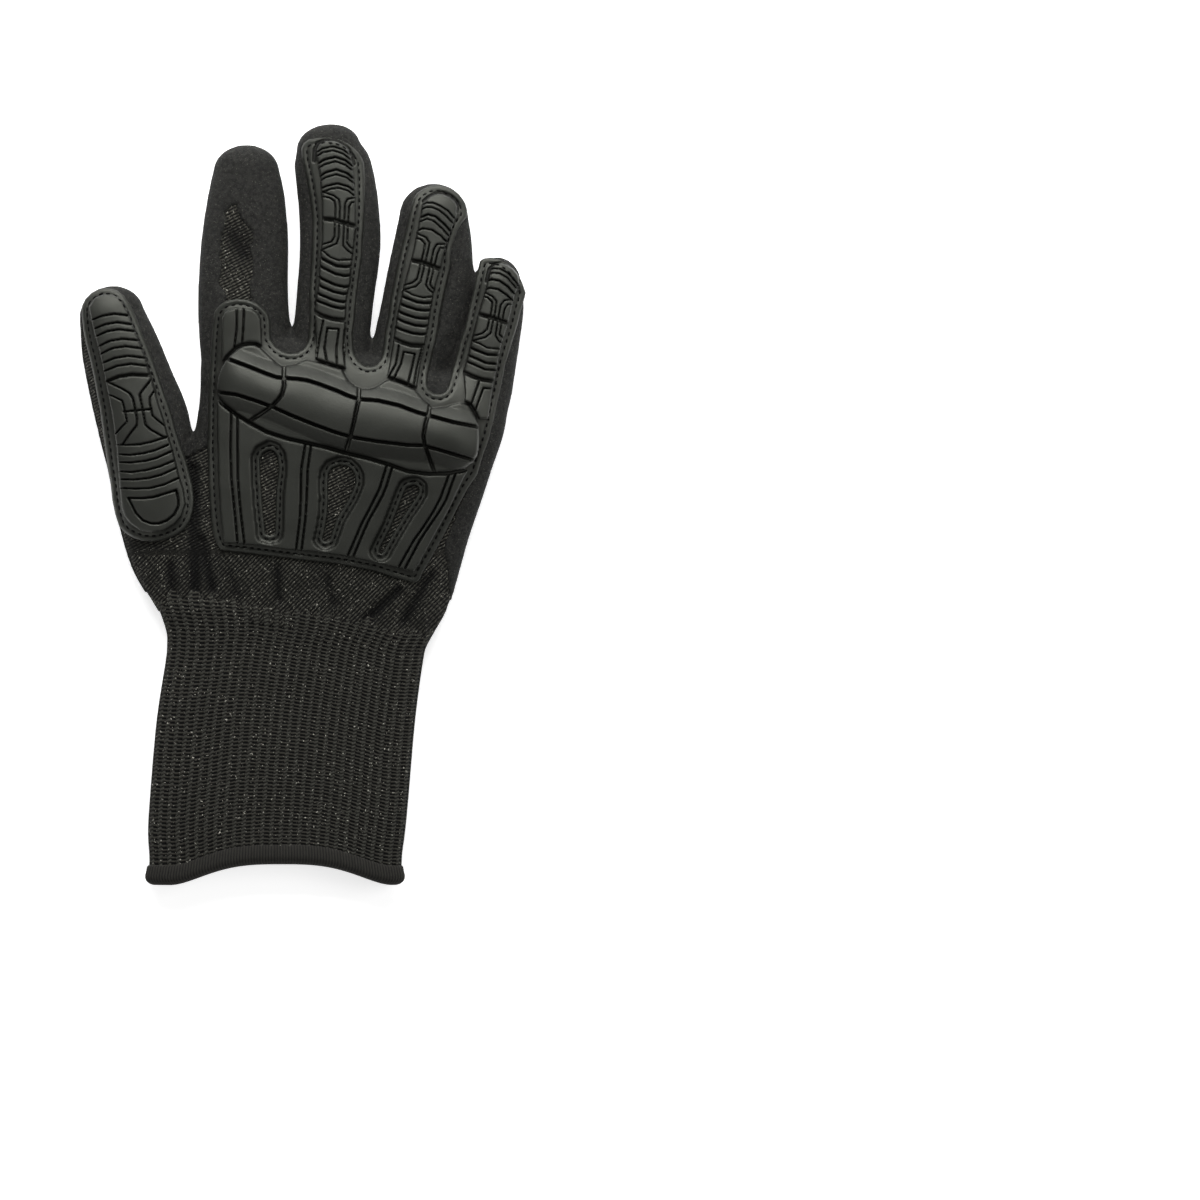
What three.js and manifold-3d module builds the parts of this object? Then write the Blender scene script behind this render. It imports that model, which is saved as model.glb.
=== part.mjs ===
// Knitted work glove for the right hand, lying palm down, with moulded rubber guards on its back.
// Millimetres. +Y points to the finger tips, +Z out of the back of the hand, z = 0 is the table.
import * as THREE from 'three';
import Module from 'manifold-3d';

const wasm = await Module();
wasm.setup();

// Layers, as distances from the outer skin of the glove (minus is inwards)
const COAT_OUT = 0;
const COAT_IN = -0.7;
const KNIT_OUT = -1.0;
const KNIT_IN = -2.2;
const GUARD_ON_KNIT = -0.7;
const GUARD_ON_COAT = 0.3;
const FLANGE_TOP = 1.7;
const BAR_TOP = 4.4;
const BED_TOP = 4.2;
const BED_GROOVE_FLOOR = 2.4;
const PAD_GROOVE_FLOOR = 4.6;
const SEAT_GAP = 0.3;

// Resting: each section is pressed flat by this much against the table
const PRESS = 0.8;
// Far beyond the glove in every direction
const FAR = 200;
const EVERYWHERE = [[-FAR, -FAR], [FAR, -FAR], [FAR, FAR], [-FAR, FAR]];

// Points round one section
const HAND_SEGMENTS = 16;
const FINGER_SEGMENTS = 10;
const CAP_ANGLES = [42, 86];
const ROOT_ANGLE = 60;
const ROOT_CAP = 7;
const ELLIPSE_POINTS = 14;

// Squareness of the sections: 2 is an ellipse, more is flatter
const HAND_SQUARE = 2.6;
const FINGER_SQUARE = 2.25;
const CUFF_SQUARE = 3;

// Sections across the hand, from the wrist to the finger roots
const HAND = [
  { x: -5.8, y: -76.9, half: 46.3, high: 7.2, lean: 0 },
  { x: -0.9, y: -46.6, half: 47.4, high: 8.0, lean: 0 },
  { x: 0.2, y: -38.0, half: 51.1, high: 8.6, lean: 0 },
  { x: 0.2, y: -26.5, half: 55.7, high: 9.4, lean: 0 },
  { x: 2.5, y: -12.1, half: 57.4, high: 10.0, lean: 0 },
  { x: 14.4, y: 16.7, half: 54.9, high: 10.8, lean: -2 },
  { x: 18.2, y: 31.1, half: 55.4, high: 10.8, lean: -6 },
  { x: 19.6, y: 43.7, half: 56.5, high: 10.0, lean: -9 },
  { x: 21.2, y: 50.2, half: 57.0, high: 9.2, lean: -12 },
];
const HAND_CAP = 5;

// Sections across each finger, from inside the hand to the last one before the rounded tip
const FINGERS = {
  thumb: {
    cap: 10.4,
    rows: [
      { x: -40.5, y: -33.7, half: 13.0, high: 7.6, lean: 10 },
      { x: -51.7, y: -1.3, half: 16.2, high: 8.8, lean: 11 },
      { x: -58.1, y: 31.1, half: 16.8, high: 8.8, lean: 13 },
      { x: -61.7, y: 45.5, half: 15.6, high: 8.4, lean: 14 },
      { x: -67.9, y: 68.9, half: 12.2, high: 7.2, lean: 10 },
    ],
  },
  index: {
    cap: 9.6,
    rows: [
      { x: -18.9, y: 38.3, half: 15.1, high: 9.0, lean: 0 },
      { x: -20.7, y: 77.9, half: 16.2, high: 8.5, lean: 0 },
      { x: -20.5, y: 95.9, half: 15.4, high: 8.0, lean: 0 },
      { x: -20.0, y: 112.1, half: 13.8, high: 7.4, lean: 0 },
      { x: -20.0, y: 120.4, half: 12.0, high: 6.9, lean: 0 },
    ],
  },
  middle: {
    cap: 8.4,
    rows: [
      { x: 11.2, y: 36, half: 13.8, high: 9.0, lean: 0 },
      { x: 11.0, y: 54.5, half: 14.2, high: 8.8, lean: -2 },
      { x: 13.5, y: 92.3, half: 14.4, high: 8.0, lean: -1 },
      { x: 11.3, y: 122.9, half: 13.9, high: 7.1, lean: 7 },
      { x: 10.3, y: 129.1, half: 12.0, high: 6.8, lean: 8 },
    ],
  },
  ring: {
    cap: 11.2,
    rows: [
      { x: 34.4, y: 34.7, half: 13.7, high: 8.8, lean: -13 },
      { x: 39.0, y: 52.7, half: 14.0, high: 8.5, lean: -15 },
      { x: 45.9, y: 81.5, half: 15.6, high: 7.7, lean: -9 },
      { x: 47.0, y: 94.1, half: 14.3, high: 7.2, lean: -3 },
      { x: 47.3, y: 104.9, half: 12.4, high: 6.8, lean: 0 },
    ],
  },
  little: {
    cap: 10,
    rows: [
      { x: 60.3, y: 27.5, half: 10.8, high: 8.2, lean: -13 },
      { x: 63.2, y: 40.1, half: 12.0, high: 8.0, lean: -12 },
      { x: 68.2, y: 61.7, half: 10.4, high: 7.2, lean: -11 },
      { x: 70.7, y: 79.7, half: 9.1, high: 6.5, lean: 0 },
    ],
  },
};

// Line each knitted stall starts at, from its left end to its right end
const STALL_LINES = {
  thumb: { x0: -78, y0: 19, x1: -38, y1: 28.5 },
  index: { x0: -40, y0: 57.6, x1: -3.2, y1: 63 },
  middle: { x0: -3.2, y0: 63, x1: 25.4, y1: 56 },
  ring: { x0: 25.4, y0: 56, x1: 50.2, y1: 44 },
  little: { x0: 50.2, y0: 44, x1: 80, y1: 36.5 },
};
const STALL_REACH = 100;
const STALL_SPREAD = 30;

// Folds pressed into the back: a line, its depth and half its width
const FOLDS = [
  { x0: -46, y0: -8, x1: -20, y1: -24, depth: 1.6, width: 7 },
  { x0: -44, y0: -22, x1: -24, y1: -34, depth: 1.4, width: 7 },
  { x0: 44, y0: -16, x1: 52, y1: -36, depth: 1.2, width: 7 },
  { x0: 57, y0: 58, x1: 61, y1: 84, depth: 1.2, width: 4 },
];
// Gathers above the knitted rib
const GATHER = { y: -38, reach: 9, depth: 0.7, pitch: 16 };

// Dipped coating: its side height, its lower edge and where it climbs over the whole index finger
const COAT_SIDE = 8.6;
const COAT_EDGE = { x0: -95, y0: -29.2, x1: 95, y1: -35.5 };
const INDEX_DIP = { x0: -40, x1: -3.5, y: 60 };
const BARE_WINDOW = { x: -22.4, y: 91, halfWide: 6.6, halfLong: 16.6 };

// Knitted rib and hem of the cuff
const CUFF = [
  { x: -0.5, y: -26, half: 55, high: 8.6 },
  { x: -0.5, y: -46.6, half: 47.4, high: 8.0 },
  { x: -5.8, y: -76.9, half: 46.3, high: 7.2 },
  { x: -9.5, y: -137, half: 46.3, high: 7.0 },
];
const RIB_LINE = { x0: -90, y0: -25.3, x1: 90, y1: -53.5 };
const RIB_COUNT = 38;
const RIB_DEPTH = 0.6;
const HEM_TOP = -129.2;
const HEM_LENGTH = 7.2;
const HEM_OUT = 0.7;
const HEM_ROUND = 0.42;
const HEM_GAP = 0.5;
const HEM_SEGMENTS = 28;
const HEM_ARCH = { x: -9.6, half: 36, rise: 7.2, flatness: 0.6 };
// Sections nearer than this to the cuff's end are left out
const ROWS_APART = 1;

// Back guard: corners of its flange below the fingers
const PLATE = [
  { x: -28.3, y: -16 },
  { x: -32.6, y: 2.3 },
  { x: -33.4, y: 27.5 },
  { x: -32.4, y: 56 },
  { x: -10, y: 55.5 },
  { x: 3, y: 54.5 },
  { x: 18.5, y: 50.5 },
  { x: 29.5, y: 49.8 },
  { x: 45, y: 40.4 },
  { x: 53.5, y: 40 },
  { x: 71.4, y: 38.5 },
  { x: 68.6, y: 26.8 },
  { x: 63.9, y: 10.3 },
  { x: 56.7, y: -3.4 },
  { x: 43, y: -25.4 },
  { x: 40.3, y: -27.4 },
  { x: 17.1, y: -21.4 },
  { x: -4.5, y: -18.5 },
];
const FLANGE_WIDE = 3.9;
const GUARD_LOW = 9.2;

// Raised beds on the fingers and the thumb, from root to tip
const BEDS = {
  index: {
    cap: 3.6,
    rows: [
      { x: -21.4, y: 53, half: 6.6, lean: 0 },
      { x: -21.3, y: 66.4, half: 6.8, lean: 0 },
    ],
  },
  middle: {
    cap: 5.4,
    rows: [
      { x: 10.8, y: 50, half: 6.6, lean: 0 },
      { x: 11.2, y: 74.3, half: 6.3, lean: -5 },
      { x: 12.8, y: 92.3, half: 6.1, lean: -2 },
      { x: 13.0, y: 110.3, half: 6.1, lean: 3 },
      { x: 11.6, y: 125.5, half: 6.3, lean: 8 },
    ],
  },
  ring: {
    cap: 4.4,
    rows: [
      { x: 35.8, y: 42, half: 5.4, lean: -14 },
      { x: 39.2, y: 58, half: 5.8, lean: -12 },
      { x: 41.8, y: 74.3, half: 6.0, lean: -12 },
      { x: 44.8, y: 89.5, half: 6.0, lean: -12 },
      { x: 48.6, y: 107.2, half: 6.2, lean: -8 },
    ],
  },
  little: {
    cap: 3.2,
    rows: [
      { x: 60.6, y: 34, half: 5.2, lean: -14 },
      { x: 63.4, y: 45.5, half: 5.2, lean: -13 },
      { x: 67.2, y: 62.4, half: 5.6, lean: -12 },
      { x: 72.2, y: 81.8, half: 5.4, lean: -14 },
    ],
  },
  thumb: {
    cap: 5.6,
    rows: [
      { x: -53.0, y: 2.3, half: 11.2, lean: 6 },
      { x: -55.3, y: 16.7, half: 10.6, lean: 11 },
      { x: -58.7, y: 31.1, half: 9.2, lean: 14 },
      { x: -62.5, y: 45.5, half: 8.4, lean: 15 },
      { x: -66.6, y: 59.9, half: 7.8, lean: 15 },
      { x: -69.6, y: 71.4, half: 6.6, lean: 14 },
    ],
  },
};
const THUMB_ROOT_CAP = 9;
// Turns at which the rounded end of a bed has its corners
const ROUND_TURNS = [0.25, 0.5, 0.75].map((share) => share * Math.PI);

// Grooves across a bed: share of the way down from its tip, rise of the middle, width
const FINGER_GROOVES = [
  { down: 0.09, rise: 1.6, wide: 1.1 },
  { down: 0.2, rise: 1.4, wide: 1.4 },
  { down: 0.76, rise: -1, wide: 1.4 },
  { down: 0.93, rise: 0, wide: 1.6 },
];
const THUMB_GROOVES = [
  { down: 0.14, rise: 1.6, wide: 1.4 },
  { down: 0.23, rise: 1.5, wide: 1.4 },
  { down: 0.32, rise: 1.4, wide: 1.6 },
  { down: 0.66, rise: -0.4, wide: 1.4 },
  { down: 0.8, rise: -0.6, wide: 1.4 },
];
// How far a groove runs past the sides of its bed, as a share of half the bed
const GROOVE_OVERRUN = 1.3;
const HOURGLASS = { top: 0.31, waistTop: 0.4, waistLow: 0.56, low: 0.65, waist: 0.34, wide: 1.1 };

// Raised bars over the back of the hand, each with a groove along it
const BARS = [
  { x0: -24.2, y0: 40, x1: -24.2, y1: 8, x2: -21, y2: -12.6, half: 5.6 },
  { x0: 3.4, y0: 29, x1: 1.2, y1: 4, x2: -0.2, y2: -15, half: 4.7 },
  { x0: 33.2, y0: 20, x1: 27, y1: -1, x2: 18.8, y2: -17, half: 4.6 },
  { x0: 56.4, y0: 17.5, x1: 47.6, y1: -5, x2: 36.6, y2: -21.8, half: 4.8 },
];
const BAR_GROOVE = 2.4;

// Drop-shaped windows cut through the flange: middle and radius of the head and of the tail
const WINDOWS = [
  { x0: -11.2, y0: 16, r0: 3.1, x1: -10.8, y1: -8.6, r1: 1.6 },
  { x0: 14.6, y0: 9, r0: 4.2, x1: 9.4, y1: -10.6, r1: 1.3 },
  { x0: 40.1, y0: 4.4, r0: 2.9, x1: 28.8, y1: -15.1, r1: 1.1 },
];
const WINDOW_POINTS = 4;

// Knuckle pad: where its upper edge, two long grooves and lower edge lie at each x
const PAD = [
  { x: -30, top: 46, upper: 44.5, lower: 40.6, bottom: 38.4 },
  { x: -18, top: 57, upper: 49.8, lower: 38.4, bottom: 30.2 },
  { x: -6, top: 50, upper: 45.6, lower: 33.2, bottom: 25.4 },
  { x: 2.3, top: 52.2, upper: 45, lower: 29.6, bottom: 23.2 },
  { x: 14.6, top: 48.8, upper: 40.4, lower: 25.3, bottom: 20.2 },
  { x: 24, top: 41.4, upper: 37.9, lower: 23.4, bottom: 17.5 },
  { x: 31, top: 44.3, upper: 37.2, lower: 22.4, bottom: 15.4 },
  { x: 41.2, top: 40.9, upper: 33.8, lower: 21.7, bottom: 12.7 },
  { x: 57.8, top: 36.2, upper: 29.6, lower: 17.2, bottom: 13.6 },
  { x: 63.6, top: 29, upper: 28, lower: 21.5, bottom: 19 },
];
const PAD_EDGE = 3.2;
const PAD_SHOULDER = 8.2;
const PAD_CROWN = 9.4;
const PAD_END_DROP = 3;
const PAD_GROOVE = 1.3;
const PAD_CROSSINGS = [
  { x0: -5.9, y0: 53, x1: -5.6, y1: 42, x2: -17.6, y2: 28 },
  { x0: 21.2, y0: 46, x1: 20.3, y1: 34, x2: 16, y2: 16 },
  { x0: 46.8, y0: 38.5, x1: 44.3, y1: 25, x2: 48.4, y2: 9.5 },
];

// Surfaces of the real materials
const SURFACES = {
  knit: { color: 0x2d2c28, roughness: 0.95, metalness: 0 },
  coating: { color: 0x262724, roughness: 0.8, metalness: 0 },
  rib: { color: 0x31302c, roughness: 0.95, metalness: 0 },
  hem: { color: 0x24241f, roughness: 0.95, metalness: 0 },
  rubber: { color: 0x343636, roughness: 0.55, metalness: 0 },
};

const { clamp, lerp, degToRad: radians } = THREE.MathUtils;

// Signed power, which bends a circle into a squarer outline
function bend(value, square) {
  return Math.sign(value) * Math.abs(value) ** (2 / square);
}

// Distance from a point to the line of a fold
function reachOf(fold, x, y) {
  const along = new THREE.Vector2(fold.x1 - fold.x0, fold.y1 - fold.y0);
  const from = new THREE.Vector2(x - fold.x0, y - fold.y0);
  const share = clamp(from.dot(along) / along.lengthSq(), 0, 1);
  return from.sub(along.multiplyScalar(share)).length();
}

// How far the cloth sinks at a point of the back
function sinkAt(x, y) {
  const gathered = Math.exp(-(((y - GATHER.y) / GATHER.reach) ** 2));
  let sink = GATHER.depth * gathered * Math.cos((2 * Math.PI * x) / GATHER.pitch) ** 2;
  for (const fold of FOLDS) {
    sink += fold.depth * Math.exp(-((reachOf(fold, x, y) / fold.width) ** 2));
  }
  return sink;
}

// Points round one section, grown by an offset, shrunk and pushed forward for the rounded ends
function sectionRing(row, offset, segments, square, shrink = 1, forward = 0) {
  const across = Math.cos(radians(row.lean));
  const along = Math.sin(radians(row.lean));
  const points = [];
  for (let i = 0; i < segments; i += 1) {
    const turn = (2 * Math.PI * i) / segments;
    const wide = (row.half + offset) * shrink * bend(Math.cos(turn), square);
    const high = (row.high + offset) * shrink * bend(Math.sin(turn), square);
    const x = row.x + wide * across - forward * along;
    const y = row.y + wide * along + forward * across;
    const sink = Math.max(Math.sin(turn), 0) * sinkAt(x, y);
    points.push([x, y, row.high - PRESS + high - sink]);
  }
  return points;
}

// Closed solid from rows of points and triangles; turned right side out when it is inside out
function solidOf(points, faces) {
  let volume = 0;
  const corner = (index) => new THREE.Vector3(...points[index]);
  for (const [a, b, c] of faces) {
    volume += corner(a).dot(corner(b).cross(corner(c)));
  }
  const turned = volume < 0 ? faces.map(([a, b, c]) => [a, c, b]) : faces;
  const mesh = new wasm.Mesh({
    numProp: 3,
    vertProperties: new Float32Array(points.flat()),
    triVerts: new Uint32Array(turned.flat()),
  });
  return new wasm.Manifold(mesh);
}

// Solid skinned over rings of equally many points, with both ends closed
function loft(rings) {
  const count = rings[0].length;
  const points = rings.flat();
  const faces = [];
  for (let ring = 0; ring + 1 < rings.length; ring += 1) {
    for (let i = 0; i < count; i += 1) {
      const a = ring * count + i;
      const b = ring * count + ((i + 1) % count);
      faces.push([a, a + count, b], [b, a + count, b + count]);
    }
  }
  for (const end of [0, rings.length - 1]) {
    const middle = new THREE.Vector3();
    rings[end].forEach((point) => middle.add(new THREE.Vector3(...point)));
    points.push(middle.divideScalar(count).toArray());
    for (let i = 0; i < count; i += 1) {
      const a = end * count + i;
      const b = end * count + ((i + 1) % count);
      faces.push(end === 0 ? [points.length - 1, a, b] : [points.length - 1, b, a]);
    }
  }
  return solidOf(points, faces);
}

// Upright solid over an outline, between two heights
function prism(outline, low = -FAR, high = FAR) {
  const flat = outline.map(([x, y]) => new THREE.Vector2(x, y));
  const count = flat.length;
  const points = [low, high].flatMap((z) => flat.map((point) => [point.x, point.y, z]));
  const faces = [];
  const clockwise = THREE.ShapeUtils.isClockWise(flat);
  for (const [a, b, c] of THREE.ShapeUtils.triangulateShape(flat, [])) {
    faces.push([c, b, a], [a + count, b + count, c + count]);
  }
  for (let i = 0; i < count; i += 1) {
    const next = (i + 1) % count;
    const [a, b] = clockwise ? [next, i] : [i, next];
    faces.push([a, b, a + count], [b, b + count, a + count]);
  }
  return solidOf(points, faces);
}

// Tube that starts in a rounded root and ends in a rounded cap
function capped(rows, cap, offset, segments, square) {
  const rings = rows.map((row) => sectionRing(row, offset, segments, square));
  const last = rows[rows.length - 1];
  const back = radians(ROOT_ANGLE);
  const behind = -(ROOT_CAP + offset) * Math.sin(back);
  rings.unshift(sectionRing(rows[0], offset, segments, square, Math.cos(back), behind));
  for (const angle of CAP_ANGLES) {
    const turn = radians(angle);
    rings.push(sectionRing(last, offset, segments, square, Math.cos(turn), (cap + offset) * Math.sin(turn)));
  }
  return loft(rings);
}

function fingerBody(name, offset) {
  return capped(FINGERS[name].rows, FINGERS[name].cap, offset, FINGER_SEGMENTS, FINGER_SQUARE);
}

// Everything above the table side of a layer
function aboveTable(offset) {
  return prism(EVERYWHERE, -offset, FAR);
}

// The whole glove at one distance from its outer skin
const layers = new Map();
function layer(offset) {
  if (!layers.has(offset)) {
    let body = capped(HAND, HAND_CAP, offset, HAND_SEGMENTS, HAND_SQUARE);
    for (const name of Object.keys(FINGERS)) {
      body = body.add(fingerBody(name, offset));
    }
    layers.set(offset, body.intersect(aboveTable(offset)));
  }
  return layers.get(offset);
}

// Everything beyond a line, on its left-hand side when walked from right to left
function beyond(line, reach = FAR) {
  const across = new THREE.Vector2(line.x1 - line.x0, line.y1 - line.y0).normalize();
  const out = new THREE.Vector2(-across.y, across.x).multiplyScalar(reach);
  return [
    [line.x0, line.y0],
    [line.x1, line.y1],
    [line.x1 + out.x, line.y1 + out.y],
    [line.x0 + out.x, line.y0 + out.y],
  ];
}

// A knitted stall: the finger tube beyond its starting line
function stallZone(name) {
  const line = STALL_LINES[name];
  const [start, end, farEnd, farStart] = beyond(line, STALL_REACH);
  return prism([start, end, [farEnd[0] + STALL_SPREAD, farEnd[1]], [farStart[0] - STALL_SPREAD, farStart[1]]]);
}

function stall(name) {
  const tube = fingerBody(name, KNIT_OUT).subtract(fingerBody(name, KNIT_IN));
  return tube.intersect(aboveTable(KNIT_OUT)).add(floorOf(name)).intersect(stallZone(name));
}

// The flat floor of a stall, where the tube is pressed on the table
function floorOf(name) {
  const body = fingerBody(name, KNIT_OUT);
  return body.intersect(aboveTable(KNIT_OUT)).subtract(aboveTable(KNIT_IN));
}

// The cuff's side of the line at which the ribs start
function cuffSide() {
  return prism(beyond({ x0: RIB_LINE.x1, y0: RIB_LINE.y1, x1: RIB_LINE.x0, y1: RIB_LINE.y0 }));
}

function handLiner() {
  let shell = layer(KNIT_OUT).subtract(layer(KNIT_IN)).subtract(cuffSide());
  for (const name of Object.keys(FINGERS)) {
    shell = shell.subtract(stallZone(name));
  }
  return shell;
}

// Where the dipped coating lies, grown a little for what is seated on it
function coatZone(grow) {
  const edge = { ...COAT_EDGE, y0: COAT_EDGE.y0 - grow, y1: COAT_EDGE.y1 - grow };
  const low = prism(beyond(edge), -FAR, COAT_SIDE + grow);
  const y = INDEX_DIP.y - grow;
  return low.add(prism([[INDEX_DIP.x0, y], [INDEX_DIP.x1, y], [INDEX_DIP.x1, FAR], [INDEX_DIP.x0, FAR]]));
}

function ellipse(middle) {
  return Array.from({ length: ELLIPSE_POINTS }, (_, i) => {
    const turn = (2 * Math.PI * i) / ELLIPSE_POINTS;
    return [middle.x + middle.halfWide * Math.cos(turn), middle.y + middle.halfLong * Math.sin(turn)];
  });
}

function palmCoating() {
  const shell = layer(COAT_OUT).subtract(layer(COAT_IN));
  return shell.intersect(coatZone(0)).subtract(prism(ellipse(BARE_WINDOW), COAT_SIDE, FAR));
}

// Outline of a bed: two long sides, a rounded tip and, when asked, a rounded root
function bedOutline(bed, grow, rootCap = 0) {
  const side = (row, sign, shrink = 1, forward = 0) => {
    const across = Math.cos(radians(row.lean));
    const along = Math.sin(radians(row.lean));
    const wide = sign * (row.half + grow) * shrink;
    return [row.x + wide * across - forward * along, row.y + wide * along + forward * across];
  };
  const first = bed.rows[0];
  const last = bed.rows[bed.rows.length - 1];
  const outline = bed.rows.map((row) => side(row, 1));
  for (const turn of ROUND_TURNS) {
    outline.push(side(last, 1, Math.cos(turn), (bed.cap + grow) * Math.sin(turn)));
  }
  outline.push(...bed.rows.map((row) => side(row, -1)).reverse());
  for (const turn of rootCap > 0 ? ROUND_TURNS : []) {
    outline.push(side(first, -1, Math.cos(turn), -(rootCap + grow) * Math.sin(turn)));
  }
  return outline;
}

// A narrow band along a bent line
function band(line, wide) {
  const sides = [[], []];
  line.forEach((point, i) => {
    const before = line[Math.max(i - 1, 0)];
    const after = line[Math.min(i + 1, line.length - 1)];
    const way = new THREE.Vector2(after[0] - before[0], after[1] - before[1]).normalize();
    sides[0].push([point[0] - (way.y * wide) / 2, point[1] + (way.x * wide) / 2]);
    sides[1].push([point[0] + (way.y * wide) / 2, point[1] - (way.x * wide) / 2]);
  });
  return [...sides[0], ...sides[1].reverse()];
}

// A place on a bed: share of the way down from the tip and share across
function placeOn(bed, down, across) {
  const steps = bed.rows.length - 1;
  const spot = clamp((1 - down) * steps, 0, steps);
  const start = Math.min(Math.floor(spot), steps - 1);
  const low = bed.rows[start];
  const high = bed.rows[start + 1];
  const share = spot - start;
  const half = lerp(low.half, high.half, share);
  const lean = radians(lerp(low.lean, high.lean, share));
  const x = lerp(low.x, high.x, share) + across * half * Math.cos(lean);
  const y = lerp(low.y, high.y, share) + across * half * Math.sin(lean);
  return [x, y];
}

// All grooves of one bed
function bedGrooves(bed, rows, hourglass) {
  const lines = rows.map((row) => {
    const line = [-GROOVE_OVERRUN, 0, GROOVE_OVERRUN].map((across) => placeOn(bed, row.down, across));
    line[1][1] += row.rise;
    return band(line, row.wide);
  });
  for (const side of hourglass ? [-1, 1] : []) {
    const places = [
      [HOURGLASS.top, side * GROOVE_OVERRUN],
      [HOURGLASS.waistTop, side * HOURGLASS.waist],
      [HOURGLASS.waistLow, side * HOURGLASS.waist],
      [HOURGLASS.low, side * GROOVE_OVERRUN],
    ];
    lines.push(band(places.map(([down, across]) => placeOn(bed, down, across)), HOURGLASS.wide));
  }
  return lines;
}

// Cuts narrow bands into a guard down to a layer of the glove
function cutGrooves(guard, outlines, floor) {
  let cut = guard;
  for (const outline of outlines) {
    cut = cut.subtract(prism(outline).subtract(layer(floor)));
  }
  return cut;
}

// Two circles joined into a drop
function drop(hole) {
  const away = Math.atan2(hole.y1 - hole.y0, hole.x1 - hole.x0);
  const outline = [];
  const ends = [
    [hole.x0, hole.y0, hole.r0, away + Math.PI / 2],
    [hole.x1, hole.y1, hole.r1, away - Math.PI / 2],
  ];
  for (const [x, y, radius, start] of ends) {
    for (let i = 0; i <= WINDOW_POINTS; i += 1) {
      const turn = start + (Math.PI * i) / WINDOW_POINTS;
      outline.push([x + radius * Math.cos(turn), y + radius * Math.sin(turn)]);
    }
  }
  return outline;
}

// Height of the back of the hand above the table
function backHeight(x, y) {
  const next = Math.max(HAND.findIndex((row) => row.y > y), 1);
  const low = HAND[next - 1];
  const high = HAND[next];
  const share = (y - low.y) / (high.y - low.y);
  const mix = (name) => lerp(low[name], high[name], share);
  const out = Math.min(Math.abs(x - mix('x')) / mix('half'), 1);
  return mix('high') * (1 + (1 - out ** HAND_SQUARE) ** (1 / HAND_SQUARE)) - PRESS;
}

function knucklePad() {
  const rings = PAD.map((row, i) => {
    const lower = i === 0 || i === PAD.length - 1 ? PAD_END_DROP : 0;
    const middle = (row.upper + row.lower) / 2;
    const crest = [
      [row.bottom, PAD_EDGE],
      [row.lower, PAD_SHOULDER - lower],
      [middle, PAD_CROWN - lower],
      [row.upper, PAD_SHOULDER - lower],
      [row.top, PAD_EDGE],
    ];
    const top = crest.map(([y, rise]) => [row.x, y, backHeight(row.x, y) + rise]);
    return [[row.x, row.bottom, GUARD_LOW], ...top, [row.x, row.top, GUARD_LOW]];
  });
  return loft(rings);
}

// Leaves a guard seated a little above the knit, and above the coating where there is some
function seat(guard) {
  const coated = layer(GUARD_ON_COAT).intersect(coatZone(SEAT_GAP));
  return guard.intersect(prism(EVERYWHERE, GUARD_LOW, FAR)).subtract(layer(GUARD_ON_KNIT)).subtract(coated);
}

function backGuard() {
  const onHand = ['index', 'middle', 'ring', 'little'].map((name) => BEDS[name]);
  let flange = prism(PLATE.map((corner) => [corner.x, corner.y]));
  for (const bed of onHand) {
    flange = flange.add(prism(bedOutline(bed, FLANGE_WIDE)));
  }
  let guard = flange.intersect(layer(FLANGE_TOP));
  for (const bed of onHand) {
    guard = guard.add(prism(bedOutline(bed, 0)).intersect(layer(BED_TOP)));
  }
  const barLine = (bar, shift = 0) => [
    [bar.x0 + shift, bar.y0],
    [bar.x1 + shift, bar.y1],
    [bar.x2 + shift, bar.y2],
  ];
  for (const bar of BARS) {
    guard = guard.add(prism(band(barLine(bar), 2 * bar.half)).intersect(layer(BAR_TOP)));
  }
  const barGrooves = BARS.map((bar) => band(barLine(bar), BAR_GROOVE));
  guard = cutGrooves(guard, barGrooves, BED_GROOVE_FLOOR);
  const fingerGrooves = onHand.slice(1).flatMap((bed) => bedGrooves(bed, FINGER_GROOVES, bed !== BEDS.little));
  guard = cutGrooves(guard, fingerGrooves, BED_GROOVE_FLOOR);
  const padGrooves = ['upper', 'lower'].map((name) => band(PAD.map((row) => [row.x, row[name]]), PAD_GROOVE));
  padGrooves.push(...PAD_CROSSINGS.map((bar) => band(barLine(bar), PAD_GROOVE)));
  guard = guard.add(cutGrooves(knucklePad(), padGrooves, PAD_GROOVE_FLOOR));
  for (const hole of WINDOWS) {
    guard = guard.subtract(prism(drop(hole)));
  }
  return seat(guard);
}

function thumbGuard() {
  const bed = BEDS.thumb;
  const flange = prism(bedOutline(bed, FLANGE_WIDE, THUMB_ROOT_CAP)).intersect(layer(FLANGE_TOP));
  const raised = prism(bedOutline(bed, 0, THUMB_ROOT_CAP)).intersect(layer(BED_TOP));
  return seat(cutGrooves(flange.add(raised), bedGrooves(bed, THUMB_GROOVES, true), BED_GROOVE_FLOOR));
}

// How far the middle of the cuff's end is pulled back towards the hand
function archAt(x) {
  const share = Math.min(Math.abs(x - HEM_ARCH.x) / HEM_ARCH.half, 1);
  return HEM_ARCH.rise * ((1 + Math.cos(Math.PI * share)) / 2) ** HEM_ARCH.flatness;
}

// Ring of the cuff; every second point is pushed in to make ribs
function cuffRing(row, offset, segments, depth, arched) {
  return Array.from({ length: segments }, (_, i) => {
    const turn = (2 * Math.PI * i) / segments;
    const grown = offset - (i % 2) * depth;
    const x = row.x + (row.half + grown) * bend(Math.cos(turn), CUFF_SQUARE);
    const z = row.high - PRESS + (row.high + grown) * bend(Math.sin(turn), CUFF_SQUARE);
    return [x, row.y + arched * archAt(x), z];
  });
}

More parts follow.
